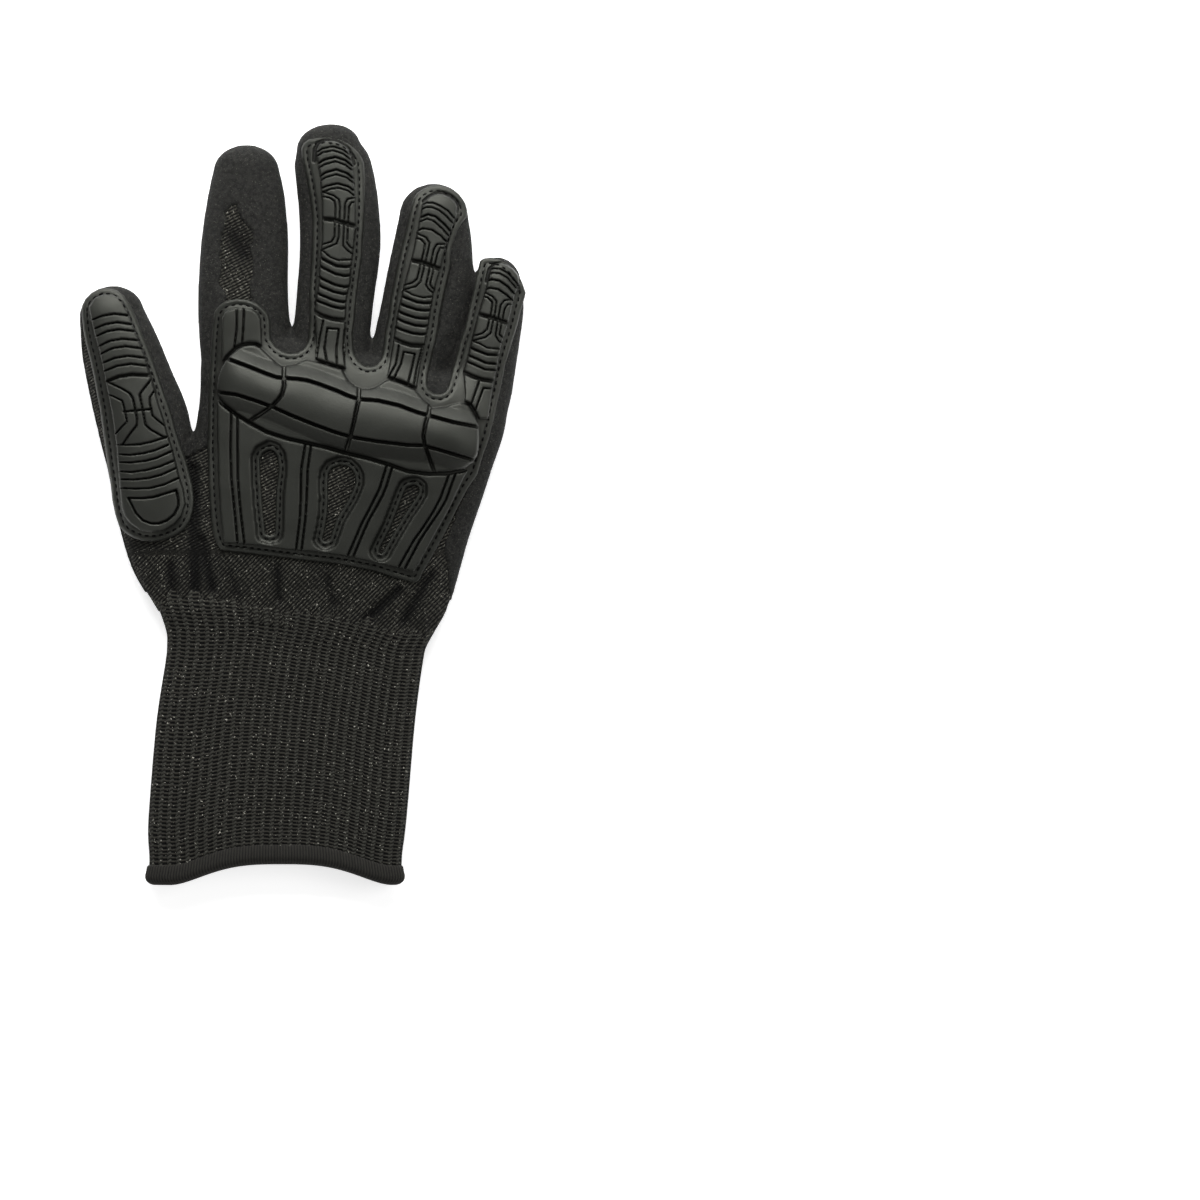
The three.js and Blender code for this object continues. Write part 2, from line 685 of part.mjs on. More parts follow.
// Sections of the cuff cut off at one end
function cuffRows(end) {
  const rows = CUFF.filter((row) => row.y > end + ROWS_APART);
  const last = CUFF[CUFF.length - 1];
  return [...rows, { ...last, y: end }];
}

function cuffBody(end, offset, segments, depth, arched) {
  const rings = cuffRows(end).map((row, i, rows) => {
    const isEnd = i === rows.length - 1;
    return cuffRing(row, offset, segments, depth, isEnd ? arched : 0);
  });
  return loft(rings).intersect(aboveTable(offset));
}

function cuffRib() {
  const body = cuffBody(HEM_TOP, 0, 2 * RIB_COUNT, RIB_DEPTH, 1);
  const hollow = cuffBody(HEM_TOP - HEM_LENGTH, KNIT_IN, HEM_SEGMENTS, 0, 0);
  return body.subtract(hollow).intersect(cuffSide());
}

function cuffHem() {
  const row = CUFF[CUFF.length - 1];
  const start = HEM_TOP - HEM_GAP;
  const ring = (y, offset, arched) => cuffRing({ ...row, y }, offset, HEM_SEGMENTS, 0, arched);
  const outer = loft([
    ring(start, HEM_OUT - HEM_ROUND, 1),
    ring(start - HEM_ROUND, HEM_OUT, 1),
    ring(start - HEM_LENGTH + HEM_ROUND, HEM_OUT, 1),
    ring(start - HEM_LENGTH, HEM_OUT - HEM_ROUND, 1),
  ]);
  const inner = loft([ring(start + FAR, KNIT_IN, 0), ring(start - FAR, KNIT_IN, 0)]);
  return outer.intersect(aboveTable(COAT_OUT)).subtract(inner.intersect(aboveTable(KNIT_IN)));
}

const glove = new THREE.Group();
glove.name = 'glove';

function place(name, solid, surface) {
  const { vertProperties, triVerts } = solid.getMesh();
  const geometry = new THREE.BufferGeometry();
  geometry.setAttribute('position', new THREE.BufferAttribute(new Float32Array(vertProperties), 3));
  geometry.setIndex(new THREE.BufferAttribute(new Uint32Array(triVerts), 1));
  geometry.computeVertexNormals();
  const mesh = new THREE.Mesh(geometry, new THREE.MeshStandardMaterial(SURFACES[surface]));
  mesh.name = name;
  glove.add(mesh);
}

place('hand_liner', handLiner(), 'knit');
for (const name of Object.keys(FINGERS)) {
  place(`${name}_stall`, stall(name), 'knit');
}
place('palm_coating', palmCoating(), 'coating');
place('cuff_rib', cuffRib(), 'rib');
place('cuff_hem', cuffHem(), 'hem');
place('back_guard', backGuard(), 'rubber');
place('thumb_guard', thumbGuard(), 'rubber');

// The origin lies on the table under the middle of the glove
const middle = new THREE.Box3().setFromObject(glove).getCenter(new THREE.Vector3());
for (const mesh of glove.children) {
  mesh.geometry.translate(-middle.x, -middle.y, 0);
}

export default glove;
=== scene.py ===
"""Knitted work glove for the right hand, lying palm down, with moulded rubber guards on its back."""
import math

import bmesh
import bpy
import numpy as np
from bpy.props import FloatProperty, FloatVectorProperty, IntProperty, PointerProperty
from mathutils import Matrix, Vector, noise
from mathutils.bvhtree import BVHTree


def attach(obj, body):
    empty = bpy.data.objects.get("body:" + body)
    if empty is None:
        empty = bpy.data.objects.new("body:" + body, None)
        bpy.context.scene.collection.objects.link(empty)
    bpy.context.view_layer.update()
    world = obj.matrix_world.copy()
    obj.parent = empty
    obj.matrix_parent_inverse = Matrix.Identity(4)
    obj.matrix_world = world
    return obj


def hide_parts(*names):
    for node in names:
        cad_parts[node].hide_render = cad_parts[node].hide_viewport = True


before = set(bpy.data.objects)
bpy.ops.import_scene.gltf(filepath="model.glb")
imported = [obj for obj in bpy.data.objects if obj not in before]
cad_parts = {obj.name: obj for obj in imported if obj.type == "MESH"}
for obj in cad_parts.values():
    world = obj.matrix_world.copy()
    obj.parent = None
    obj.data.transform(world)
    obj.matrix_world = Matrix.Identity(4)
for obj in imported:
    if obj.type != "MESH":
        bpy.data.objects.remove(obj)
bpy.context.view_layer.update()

bl_info = {
    "name": "Knitted work glove",
    "version": (1, 0, 0),
    "blender": (4, 5, 0),
    "location": "View3D > Sidebar > Glove",
    "description": "Builds a knitted work glove with moulded rubber guards over the packed model",
    "category": "Add Mesh",
}

MM = 0.001

# Outlines are drawn on a pattern sheet: one unit is 0.36 mm, counted to the right and down from its corner
UNIT = 0.36 * MM
SHEET_X = 302.94
SHEET_Y = 505.64


def sheet(u, v):
    """Place on the pattern sheet, in metres."""
    return ((u - SHEET_X) * UNIT, (SHEET_Y - v) * UNIT)


def drawn(points):
    """Outline from the pattern sheet as an array in metres."""
    return np.array([sheet(u, v) for u, v in points])


# ---- cloth ----

# Sections across the hand: middle x and y, half width and half height in mm, lean in degrees
HAND = [
    (-5.9, -77.2, 46.3, 7.2, 0),
    (-2.8, -55.6, 46.1, 7.6, 0),
    (-0.5, -46.9, 47.9, 8.0, 0),
    (0.6, -38.3, 51.6, 8.6, 0),
    (0.1, -26.8, 55.7, 9.4, 0),
    (2.4, -12.4, 57.4, 10.0, 0),
    (8.4, 2.0, 56.3, 10.5, 0),
    (14.1, 16.4, 54.7, 10.8, -2),
    (17.7, 30.8, 55.0, 10.8, -6),
    (18.9, 43.4, 55.9, 10.0, -9),
    (20.1, 49.9, 55.9, 9.2, -12),
]
# Length of the rounded end, then the sections, as the hand's
HAND_CAP = 5
FINGERS = {
    "thumb": (10.4, [
        (-40.6, -34.0, 13.0, 7.6, 10),
        (-46.7, -19.6, 14.9, 8.3, 11),
        (-51.2, -1.6, 15.6, 8.8, 11),
        (-53.9, 14.6, 16.1, 9.0, 12),
        (-57.3, 30.8, 16.7, 8.8, 13),
        (-61.9, 45.2, 15.4, 8.4, 14),
        (-65.6, 57.8, 14.0, 7.9, 13),
        (-68.4, 68.6, 11.8, 7.2, 10),
    ]),
    "index": (9.6, [
        (-19.0, 38.0, 15.1, 9.0, 0),
        (-20.5, 57.8, 16.4, 8.9, 0),
        (-21.2, 77.6, 16.2, 8.5, 0),
        (-20.6, 95.6, 15.7, 8.0, 0),
        (-20.1, 111.8, 13.8, 7.4, 0),
        (-20.1, 120.1, 12.0, 6.9, 0),
    ]),
    "middle": (8.4, [
        (11.1, 35.7, 13.8, 9.0, 0),
        (10.1, 54.2, 13.9, 8.8, -2),
        (11.8, 74.0, 14.0, 8.4, -4),
        (13.6, 92.0, 14.6, 8.0, -1),
        (13.0, 108.2, 14.5, 7.6, 4),
        (10.9, 122.6, 13.9, 7.1, 7),
        (9.3, 128.8, 11.6, 6.8, 8),
    ]),
    "ring": (11.2, [
        (34.3, 34.4, 13.7, 8.8, -13),
        (38.5, 52.4, 14.3, 8.5, -15),
        (42.8, 66.8, 15.4, 8.1, -13),
        (45.8, 81.2, 15.6, 7.7, -9),
        (46.9, 93.8, 14.3, 7.2, -3),
        (47.2, 104.6, 12.4, 6.8, 0),
    ]),
    "little": (10.0, [
        (60.2, 27.2, 10.8, 8.2, -13),
        (63.1, 39.8, 12.0, 8.0, -12),
        (65.6, 50.6, 11.3, 7.6, -13),
        (68.1, 61.4, 10.4, 7.2, -11),
        (70.3, 72.2, 9.5, 6.8, -6),
        (70.1, 79.4, 8.7, 6.5, 0),
    ]),
}
# Rounded root of each limb and how far the table presses a section flat, in mm; then how square the sections are:
# 2 is an ellipse, more is flatter
ROOT_CAP = 7
PRESS = 0.8
HAND_SQUARE = 2.6
FINGER_SQUARE = 2.25
CUFF_SQUARE = 3

# Folds of the back: a line on the pattern sheet, depth in mm (minus stands up) and half its width in mm
FOLDS = [
    (196, 470, 197, 596, 2.0, 1.9),
    (188, 440, 196, 500, 1.2, 1.8),
    (204, 540, 214, 588, 1.7, 1.6),
    (172, 564, 174, 600, 1.3, 1.4),
    (130, 545, 172, 548, 0.8, 2.0),
    (232, 572, 240, 598, 0.7, 1.5),
    (279, 568, 281, 600, 1.3, 1.4),
    (329, 578, 335, 603, 1.1, 1.4),
    (368, 619, 400, 590, 1.8, 1.6),
    (404, 622, 432, 575, 1.2, 1.8),
    (448, 268, 438, 330, 1.4, 2.0),
    (199, 425, 208, 390, 0.9, 2.4),
    (234, 238, 247, 256, 1.2, 4.0),
    (288, 330, 282, 350, 0.9, 1.8),
    (376, 330, 373, 356, 0.9, 1.8),
    (449, 340, 441, 386, 1.0, 2.0),
]

# Dipped coating: height of its edge on the sides, its lower edge and the bare window on the index finger
DIP_HEIGHT = 9.4
DIP_RAGGED = 1.3
DIP_LOW = ((-95, -29.5), (95, -35.8))
BARE = (238, 262, 15, 52)
# Part of the back that is dipped too, on the pattern sheet: the fingers and the edge of the hand
DIPPED = [
    (60, 260), (185, 260), (185, 100), (560, 100), (560, 620), (452, 620), (444, 545), (462, 500), (478, 460),
    (494, 400), (470, 420), (440, 430), (300, 410), (230, 420), (213, 446), (200, 454), (184, 462), (168, 440),
    (126, 330), (105, 292), (60, 330),
]

# Cuff sections: middle x and y, half width, half height in mm
CUFF = [
    (0.3, -30.0, 54.4, 9.1),
    (0.6, -38.3, 51.5, 8.6),
    (-0.4, -45.5, 48.2, 8.1),
    (-1.8, -50.0, 46.6, 7.8),
    (-2.8, -55.6, 46.1, 7.6),
    (-5.9, -77.2, 46.3, 7.2),
    (-8.4, -106.0, 46.3, 7.0),
    (-9.3, -118.0, 46.0, 7.0),
    (-9.6, -127.0, 45.2, 7.0),
    (-9.8, -137.3, 45.6, 7.0),
]
# The liner is cut off along this line, just under the first rows of the ribs
LINER_END = ((-52, -38.0), (48, -50.5))
# The ribs show from this line on, on the pattern sheet
RIB_LINE = ((168, 595), (250, 600), (330, 612), (425, 632))
# Hem: y of its upper edge, its length and its count of stitches
HEM_TOP = -129.5
HEM_LENGTH = 7.2
HEM_STITCHES = 190
# The hem's arch: its middle and half width in mm, and its rise
HEM_ARCH = (-7.4, 40, 7.5)
# Section through the hem: share of its length and distance from the cuff's surface in mm
HEM_SECTION = [
    (0.0, -0.9), (0.02, -0.1), (0.1, 0.35), (0.3, 0.6), (0.5, 0.95), (0.64, 0.95), (0.76, 0.7), (0.86, 0.15),
    (0.94, -0.6), (0.985, -1.4), (1.0, -2.0), (0.93, -2.4), (0.3, -2.2), (0.0, -0.9),
]

# ---- guards, on the pattern sheet ----

BACK_OUTLINE = [
    (209.5, 450), (210, 400), (211.4, 370), (212.5, 350), (214, 330), (215.3, 318), (217, 312), (222, 306), (229, 302),
    (240, 300.3), (250, 301.5), (258, 304.5), (265, 309.5), (270, 315), (272, 322), (272, 333), (273, 341), (278, 348),
    (285, 353), (292, 355), (299, 354), (305, 350), (309, 343), (311, 320), (310.5, 290), (313, 250), (313.5, 220),
    (311, 200), (307.5, 180), (303, 160), (302.3, 150), (304.5, 145), (310, 141), (320, 139.5), (330, 139.5), (340, 141),
    (350, 146), (355, 150), (360, 155), (363, 160), (365, 165), (366, 180), (366, 200), (365.5, 220), (364, 240),
    (363, 260), (360, 280), (357.5, 300), (356, 320), (354, 335), (354.5, 345), (356, 355), (360, 362), (366, 367),
    (371, 368), (377, 366), (382, 360), (384, 350), (386, 330), (388.5, 320), (391, 300), (397, 270), (401.5, 250),
    (406.5, 230), (411, 210), (414, 200), (417, 195), (424, 190), (433, 186.5), (440, 186.5), (452, 190), (459, 195),
    (463, 200), (466, 205), (467.5, 212), (467, 218), (462, 225), (458, 232), (455, 240), (452, 250), (451, 258),
    (451, 267), (449.5, 275), (446, 290), (444, 300), (441, 315), (439, 330), (437, 342), (434, 352), (432, 362),
    (429, 375), (428, 385), (430, 391), (435, 394.5), (441, 395.5), (446, 393), (449, 388), (451, 380), (453, 370),
    (457, 355), (460, 343), (465, 330), (469.5, 310), (474, 290), (476, 280), (478.5, 270), (480.5, 262), (484, 259.5),
    (492, 258.5), (500, 261), (508, 265), (515, 271), (520, 278), (523, 285), (526, 294), (524.5, 300), (521, 312),
    (518, 325), (515, 335), (512, 345), (509, 355), (506, 365), (504, 375), (502, 385), (498, 403), (494.5, 420),
    (489.5, 440), (484, 455), (478, 475), (468, 490), (460, 505), (446, 533), (438, 548), (430, 562), (423, 574),
    (421.5, 579), (417.5, 582.5), (412, 582.5), (395, 577.5), (375, 571), (350, 566), (335, 563.5), (320, 562),
    (285, 558), (250, 553.5), (223, 550.5), (219, 545), (215.5, 535), (213.5, 520), (212, 505), (211, 490), (210.5, 470),
]
WINDOWS = [
    [(272, 450.5), (265, 454), (262, 460), (262.5, 475), (264.5, 505), (267.5, 534.5), (272, 536), (277, 534.5),
     (278, 505), (278.5, 490), (281, 470), (279.5, 457), (276, 452)],
    [(342, 466), (334, 469), (330, 475), (329.5, 485), (330, 500), (329, 515), (326, 533), (324, 540), (327, 542),
     (331, 540.5), (334, 532), (338, 520), (350, 500), (354, 492), (357, 484), (357, 477), (354, 471), (349, 467)],
    [(414, 486), (408, 488), (405, 494), (399, 510), (391, 530), (383, 545), (380, 552), (382, 554), (384, 552.5),
     (393, 536), (405, 516), (416, 500), (420, 493), (420, 488), (417, 486)],
]
PAD = [
    (219.5, 388), (221, 378), (224, 370), (228, 363), (231, 359), (236, 354), (240, 350), (246, 347.5), (252, 346.5),
    (258, 347), (263, 349.5), (267, 353.5), (273, 359), (279, 364.5), (284, 367.5), (291, 367), (298, 365.5), (304, 363),
    (309, 361), (322, 364.5), (338, 369.5), (344, 371), (347, 377), (351, 383), (357, 387.5), (364, 390), (370, 390.5),
    (377, 388.5), (382, 385.5), (387, 382), (391, 381), (403, 385), (416, 391), (424, 400), (430, 405), (433, 409),
    (445, 408), (455, 405), (462, 403.5), (470, 407), (474, 413), (477, 420), (479.5, 427), (480, 440), (479, 455),
    (474, 463), (465, 470), (450, 473), (430, 473.5), (410, 471), (390, 464), (370, 458), (350, 453.5), (330, 447.5),
    (310, 443), (290, 438.5), (270, 432), (255, 424), (240, 415), (232, 409), (226, 404), (222, 399), (220, 394),
]
PAD_UPPER = [
    (214, 357), (231, 361), (250, 368), (270, 376), (280, 379.5), (300, 381), (310, 382.5), (320, 385.5), (340, 393),
    (350, 397.5), (360, 401), (380, 402.5), (400, 407), (420, 414.5), (435, 418.5), (455, 424), (486, 430),
]
PAD_LOWER = [
    (212, 393), (222, 394), (240, 396.5), (260, 403), (275, 408.5), (295, 417.5), (315, 425.5), (335, 433), (353, 438.5),
    (380, 443), (410, 446.5), (425, 447), (445, 452.5), (472, 460.5), (484, 464),
]
PAD_CROSS = [
    [(286, 358), (287, 388), (285, 396), (281, 402), (275, 408), (261, 417), (250, 424)],
    [(361, 382), (361, 401), (356, 425), (353, 437), (346, 458)],
    [(432, 402), (430, 416), (427, 426), (425, 438), (426.5, 447), (430, 457), (438, 480)],
]
# Raised back of the hand: one bed that leaves a rim round each window
HAND_BED = [
    (219.5, 400), (220, 440), (221, 480), (223, 512), (226.5, 543), (262, 546), (289, 550), (315, 552), (345, 556),
    (364, 560), (390, 566), (415, 572), (421, 563), (434, 538), (450, 510), (464, 480), (474, 462), (470, 440),
]
WINDOW_RIM = 3.0
# Painted shade darkens the beds towards the upper end of each window: centre and reach in mm
HALOS = [((271, 452), 10), ((343, 468), 11), ((413, 489), 9)]
HALO_SHADE = 0.75
# Arches cut round the ends of the finger beds: width in mm and line
ARCHES = [
    (1.1, [(315.5, 163), (316.3, 151), (319, 145), (326, 141.8), (336, 142), (344.5, 146), (350, 151.5), (353, 158.5),
           (355, 166)]),
    (1.1, [(424.5, 203), (428.8, 199), (434.5, 195.3), (443, 194.8), (451, 198), (457, 203.5), (459, 209),
           (457.8, 214)]),
    (0.9, [(487, 283), (489.5, 271), (495, 265), (502, 264), (508, 266), (514, 270), (519, 276), (520.5, 284)]),
]
# Grooves: width in mm and line
BAR_GROOVES = [
    (0.72, [(234, 400), (233, 450), (234, 480), (236, 500), (238, 520), (240.5, 549)]),
    (0.72, [(240, 400), (240, 450), (240.5, 480), (242, 500), (244, 520), (247.5, 549)]),
    (0.72, [(310, 430), (306, 455), (303.5, 470), (303, 500), (302, 520), (297.5, 556)]),
    (0.72, [(316, 430), (312, 455), (310, 470), (308.5, 505), (307.5, 520), (303, 556)]),
    (0.72, [(392, 455), (381, 490), (376, 500), (370, 512), (363, 525), (358, 537), (347, 562)]),
    (0.72, [(398, 455), (388, 487), (384, 497), (378, 508), (371, 520), (366, 531), (353, 562)]),
    (0.72, [(455, 462), (441, 500), (434, 513), (425, 527), (415, 541), (397, 573)]),
    (0.72, [(461, 462), (447, 501), (440, 513), (431, 526), (421, 541), (403, 575)]),
]
INDEX_BED = [
    (224, 365), (224, 320), (227, 314), (233, 311), (243, 309.5), (254, 311), (260, 315), (263, 321), (264, 345),
    (266, 365),
]
INDEX_GROOVES = [
    (0.64, [(239, 303), (239, 330), (236.5, 350)]),
    (0.64, [(246.5, 303), (245.5, 330), (244, 349)]),
]
MIDDLE_BED = [
    (316, 372), (318, 345), (316.5, 318), (318, 300), (320.5, 285), (321.5, 265), (323.5, 245), (324, 220), (323.5, 200),
    (322, 180), (318.5, 160), (318, 152), (321, 146), (328, 143), (335, 142.8), (343, 145.8), (349, 149.5), (353, 156),
    (354.5, 175), (355.5, 190), (357, 210), (357, 230), (355, 250), (352.5, 270), (351.5, 285), (348, 300), (347, 322),
    (346, 345), (347, 374),
]
MIDDLE_GROOVES = [
    (0.48, [(314, 158), (324, 151), (335, 149), (345, 152.5), (358, 163)]),
    (0.48, [(314, 162), (324, 155), (335, 153), (345, 156.5), (358, 167)]),
    (0.64, [(316, 168.5), (326, 162), (337, 159.5), (347, 163), (359, 173)]),
    (0.48, [(316, 173.5), (326, 167), (337, 164), (347, 167.5), (359, 177)]),
    (0.64, [(317, 182), (327, 175), (338, 172), (349, 176), (360, 186)]),
    (0.48, [(317, 187), (327, 180), (338, 177), (349, 180.5), (360, 190)]),
    (0.56, [(318, 193), (328, 188.5), (339, 186), (350, 189), (360, 197)]),
    (0.48, [(324, 195), (332, 191.5), (341, 190.5), (350, 193.5), (358, 200)]),
    (0.48, [(318, 198.5), (331, 200), (336, 203.5), (337, 209), (336, 239), (333, 244), (318, 248.5)]),
    (0.48, [(325, 194.5), (335, 198), (340.5, 202), (341.5, 210), (340, 240), (338, 246), (322, 252.5)]),
    (0.48, [(359, 199.5), (349, 201.5), (346.5, 206), (344.5, 248), (349, 252.5), (358, 259.5)]),
    (0.48, [(361, 204), (353, 205), (350.5, 209), (348.5, 245), (352, 249.5), (361, 254.5)]),
    (1.36, [(320, 220.5), (335, 222), (345, 225), (360, 229.5)]),
    (0.48, [(317, 250), (325, 253.5), (332, 259.5), (340, 262.5), (358, 261.5)]),
    (0.88, [(316, 256.5), (328, 263), (338, 268), (347, 269), (358, 268)]),
    (0.8, [(315, 264), (325, 270), (337, 276), (346, 278), (357, 277)]),
    (0.8, [(315, 275.5), (325, 281.5), (337, 287), (346, 289), (356, 288)]),
    (0.8, [(314, 283), (324, 289), (336, 294), (345, 296), (355, 295)]),
    (0.8, [(313, 292), (323, 297), (335, 302), (344, 304), (354, 303)]),
    (0.8, [(312, 299), (322, 304), (334, 308.5), (343, 310.5), (353, 309.5)]),
    (1.36, [(310, 311), (325, 318), (335, 321), (352, 323)]),
    (0.56, [(325, 322), (321, 341), (318, 362)]),
    (0.56, [(330, 370), (326, 350), (329, 330), (340.5, 331), (338, 350), (339, 370)]),
    (0.56, [(352, 323), (346, 332), (345, 350), (348, 374)]),
]
RING_BED = [
    (386, 392), (391, 365), (395, 340), (398, 320), (401, 305), (404, 292), (407, 280), (411, 265), (415, 250),
    (419, 230), (422, 215), (424, 203), (430, 198), (437, 195), (444, 195), (450, 197.5), (455, 202), (458, 208),
    (459, 214), (455, 222), (451, 235), (447, 245), (444, 258), (441, 272), (437, 285), (434, 297), (432, 310),
    (430, 323), (427, 340), (422, 362), (416, 400),
]
RING_GROOVES = [
    (0.48, [(421, 208.5), (427, 205), (434, 205), (441, 208), (449, 213), (459, 225)]),
    (0.48, [(420, 213), (427, 209.5), (433, 209.5), (440, 212.5), (447, 218), (457, 229)]),
    (0.64, [(418, 221), (429, 216.5), (437, 219), (446, 227), (456, 239)]),
    (0.48, [(417, 225.5), (428, 221), (435, 223.5), (444, 231.5), (454, 243.5)]),
    (0.56, [(415, 234), (424, 230.5), (433, 232), (442, 238), (451, 248)]),
    (0.48, [(413, 239), (422, 241.5), (426, 246), (424.5, 254), (418, 281), (413, 285), (399, 288.5)]),
    (0.48, [(418, 235.5), (427, 239.5), (430.5, 245), (428.5, 255), (421.5, 284), (417, 288.5), (399, 293)]),
    (0.48, [(452, 246), (437.5, 246.5), (434.5, 252), (427, 287), (430, 291.5), (438, 298)]),
    (0.48, [(452, 251), (441, 250), (438.5, 255), (431, 286), (433.5, 290), (440, 294)]),
    (1.36, [(406, 261), (422, 264), (432, 267.5), (446, 273.5)]),
    (0.48, [(399, 291), (408, 293.5), (414, 297), (424, 299.5), (438, 298.5)]),
    (0.8, [(398, 296), (408, 300), (418, 304), (426, 305), (438, 304.5)]),
    (0.8, [(397, 303.5), (407, 308), (418, 311.5), (426, 312.5), (437, 312)]),
    (0.8, [(395, 311), (406, 316), (417, 319.5), (425, 320.5), (436, 320)]),
    (0.8, [(394, 318), (405, 323.5), (416, 327), (424, 328), (435, 327.5)]),
    (0.8, [(392, 326.5), (403, 331.5), (414, 335), (422, 336), (433, 335.5)]),
    (1.36, [(388, 337), (403, 344), (413, 347), (432, 348)]),
    (0.56, [(400, 347), (397, 366), (388, 382)]),
    (0.56, [(394, 383), (402, 366), (405, 353.5), (416, 355.5), (413, 370), (408, 390)]),
    (0.56, [(423, 349), (418, 370), (414, 394)]),
]
LITTLE_BED = [
    (464, 420), (466, 395), (464, 373), (470, 352), (474, 335), (478, 318), (482, 305), (486, 292), (489, 280),
    (491.5, 269), (496, 265.5), (502, 264.5), (508, 266.5), (514, 270.5), (518.5, 276), (520, 284), (514, 300),
    (511, 315), (508, 327), (503, 342), (500, 355), (497, 371), (493, 390), (489, 420),
]
LITTLE_GROOVES = [
    (0.48, [(486, 273.5), (494, 270), (501, 270.5), (509, 275), (521, 289)]),
    (0.48, [(485, 278), (493, 274.5), (500, 275), (508, 279.5), (520, 293.5)]),
    (0.64, [(483, 284.5), (492, 281), (500, 282.5), (508, 288), (518, 299)]),
    (0.56, [(480, 294), (490, 289.5), (499, 291), (507, 296.5), (516, 305)]),
    (0.48, [(478, 296.5), (488, 299), (493, 304), (492, 312), (487.5, 331), (483, 335), (468, 338.5)]),
    (0.48, [(483, 293), (493, 298), (497, 303), (496, 312), (491, 335), (486, 339), (469, 343)]),
    (0.48, [(520, 300), (505, 302), (501, 307), (496, 337), (499, 342), (506, 348)]),
    (0.48, [(520, 305.5), (508, 306), (505, 311), (500, 336), (506, 342)]),
    (1.28, [(474, 314), (488, 318), (498, 321), (512, 326)]),
    (0.48, [(468, 341), (480, 345), (488, 349.5), (506, 351)]),
    (0.8, [(466, 347), (478, 352), (488, 356), (505, 357)]),
    (0.72, [(464, 354.5), (477, 360), (487, 364.5), (503, 366)]),
    (0.64, [(463, 361), (476, 366.5), (486, 371), (502, 372)]),
    (1.28, [(460, 371.5), (473, 377.5), (483, 381), (500, 383.5)]),
    (0.56, [(480, 382), (471, 409)]),
    (0.56, [(497, 390), (484, 389.5), (476, 412)]),
]
THUMB_OUTLINE = [
    (83.5, 316), (85, 330), (88, 345), (92, 360), (96, 378), (99, 395), (102, 410), (104, 425), (106, 440), (108, 455),
    (110, 470), (112.5, 485), (114, 500), (117, 515), (121, 527), (127, 533), (135, 538), (145, 541.5), (157, 542),
    (168, 540), (178, 536), (187, 530), (192, 522), (195, 512), (196, 500), (195, 488), (192, 475), (188, 460),
    (183, 445), (178, 430), (174, 415), (166, 392), (161, 378), (156, 363), (151, 350), (145, 336), (139, 320),
    (133, 307), (126, 297), (119, 291.5), (110, 289), (101, 289.5), (93, 294), (87, 300), (83.5, 308),
]
THUMB_BED = [
    (91, 308), (93, 318), (97, 335), (102, 352), (106, 370), (109, 385), (112, 400), (115, 415), (117, 430), (119, 445),
    (121.5, 480), (124, 508), (127, 517), (133, 524), (143, 531), (155, 533), (167, 531), (177, 525), (184, 517),
    (188, 505), (186, 490), (181, 475), (175, 450), (170, 435), (166, 420), (161, 405), (157, 390), (152, 375),
    (149, 362), (145, 350), (140, 338), (135, 325), (130, 312), (124, 301), (116, 296.5), (106, 295.5), (97, 299),
]
THUMB_GROOVES = [
    (0.64, [(94.5, 321.5), (105, 317.5), (117, 315.5), (130, 317)]),
    (0.64, [(96.5, 330.5), (108, 326), (120, 324), (134, 326)]),
    (0.64, [(98.5, 338), (110, 333), (122, 331), (137.5, 333)]),
    (0.64, [(101, 348), (113, 342.5), (126, 340.5), (141, 342)]),
    (0.64, [(103.5, 355.5), (115, 350), (128, 348), (144, 350)]),
    (0.64, [(105.5, 364.5), (118, 359.5), (131, 357.5), (148, 359.5)]),
    (0.64, [(107.5, 372.5), (120, 367.5), (134, 365.5), (151, 367.5)]),
    (1.04, [(110, 382.5), (122, 378), (135, 376), (154, 377)]),
    (0.64, [(112, 384), (125, 390), (133, 395), (136, 400), (138, 410), (140, 420), (139.5, 427), (133, 435),
           (126, 445)]),
    (0.64, [(154, 381), (146, 391), (142.5, 396), (144, 403), (148.5, 426), (154, 431), (168, 439)]),
    (0.56, [(110, 395), (119, 399), (125, 402), (127, 408), (130, 423), (125, 428), (116, 438)]),
    (0.56, [(160, 388), (152.5, 399), (152.5, 404), (155.5, 417), (160, 421), (169, 428)]),
    (0.64, [(127, 413), (154, 410.5)]),
    (0.64, [(118, 445.5), (130, 446), (143, 445.5), (155, 443), (171, 437.5)]),
    (0.64, [(119.5, 455), (133, 456), (146, 454.5), (158, 451.5), (171, 446)]),
    (0.64, [(120.5, 463), (134, 463.5), (148, 462), (160, 459), (175, 452)]),
    (0.64, [(121, 472), (135, 473), (150, 471), (163, 467.5), (177, 461.5)]),
    (0.64, [(121.5, 480), (137, 480.5), (152, 479), (165, 475.5), (179, 469)]),
    (0.64, [(122, 488.5), (138, 489.5), (153, 489), (167, 485.5), (181, 479)]),
    (0.72, [(131, 498.5), (145, 499), (156, 498), (168, 494.5), (179, 491), (181, 500), (181, 507),
           (177, 515), (170, 521), (162, 524), (154, 524), (146, 521), (139, 514), (135, 506), (131, 498.5)]),
]
# Width of the grooves that cross the pad, and of the moat round it
PAD_GROOVE = 1.25
PAD_MOAT = 1.0

# ---- fixed values of the build; lengths in mm, if no other unit is said ----

# In metres: points nearer than this are one point, and places nearer than this are on a line
SAME = 1e-6
ON_LINE = 1e-7
# Rays that look for the cloth or the rubber start this high, in metres, and go straight down
RAY_TOP = 0.1
DOWN = Vector((0, 0, -1))

# Limbs: points round a section, rows made from one row of a table and angles of the rounded ends
HAND_POINTS = 72
FINGER_POINTS = 40
LIMB_STEPS = 4
END_ANGLES = (90, 75, 60, 45, 30, 15)
# The tables give the outer skin; the knit lies this much under it. Then come rounds of smoothing
KNIT_UNDER = -0.5
SKIN_SMOOTHINGS = 5
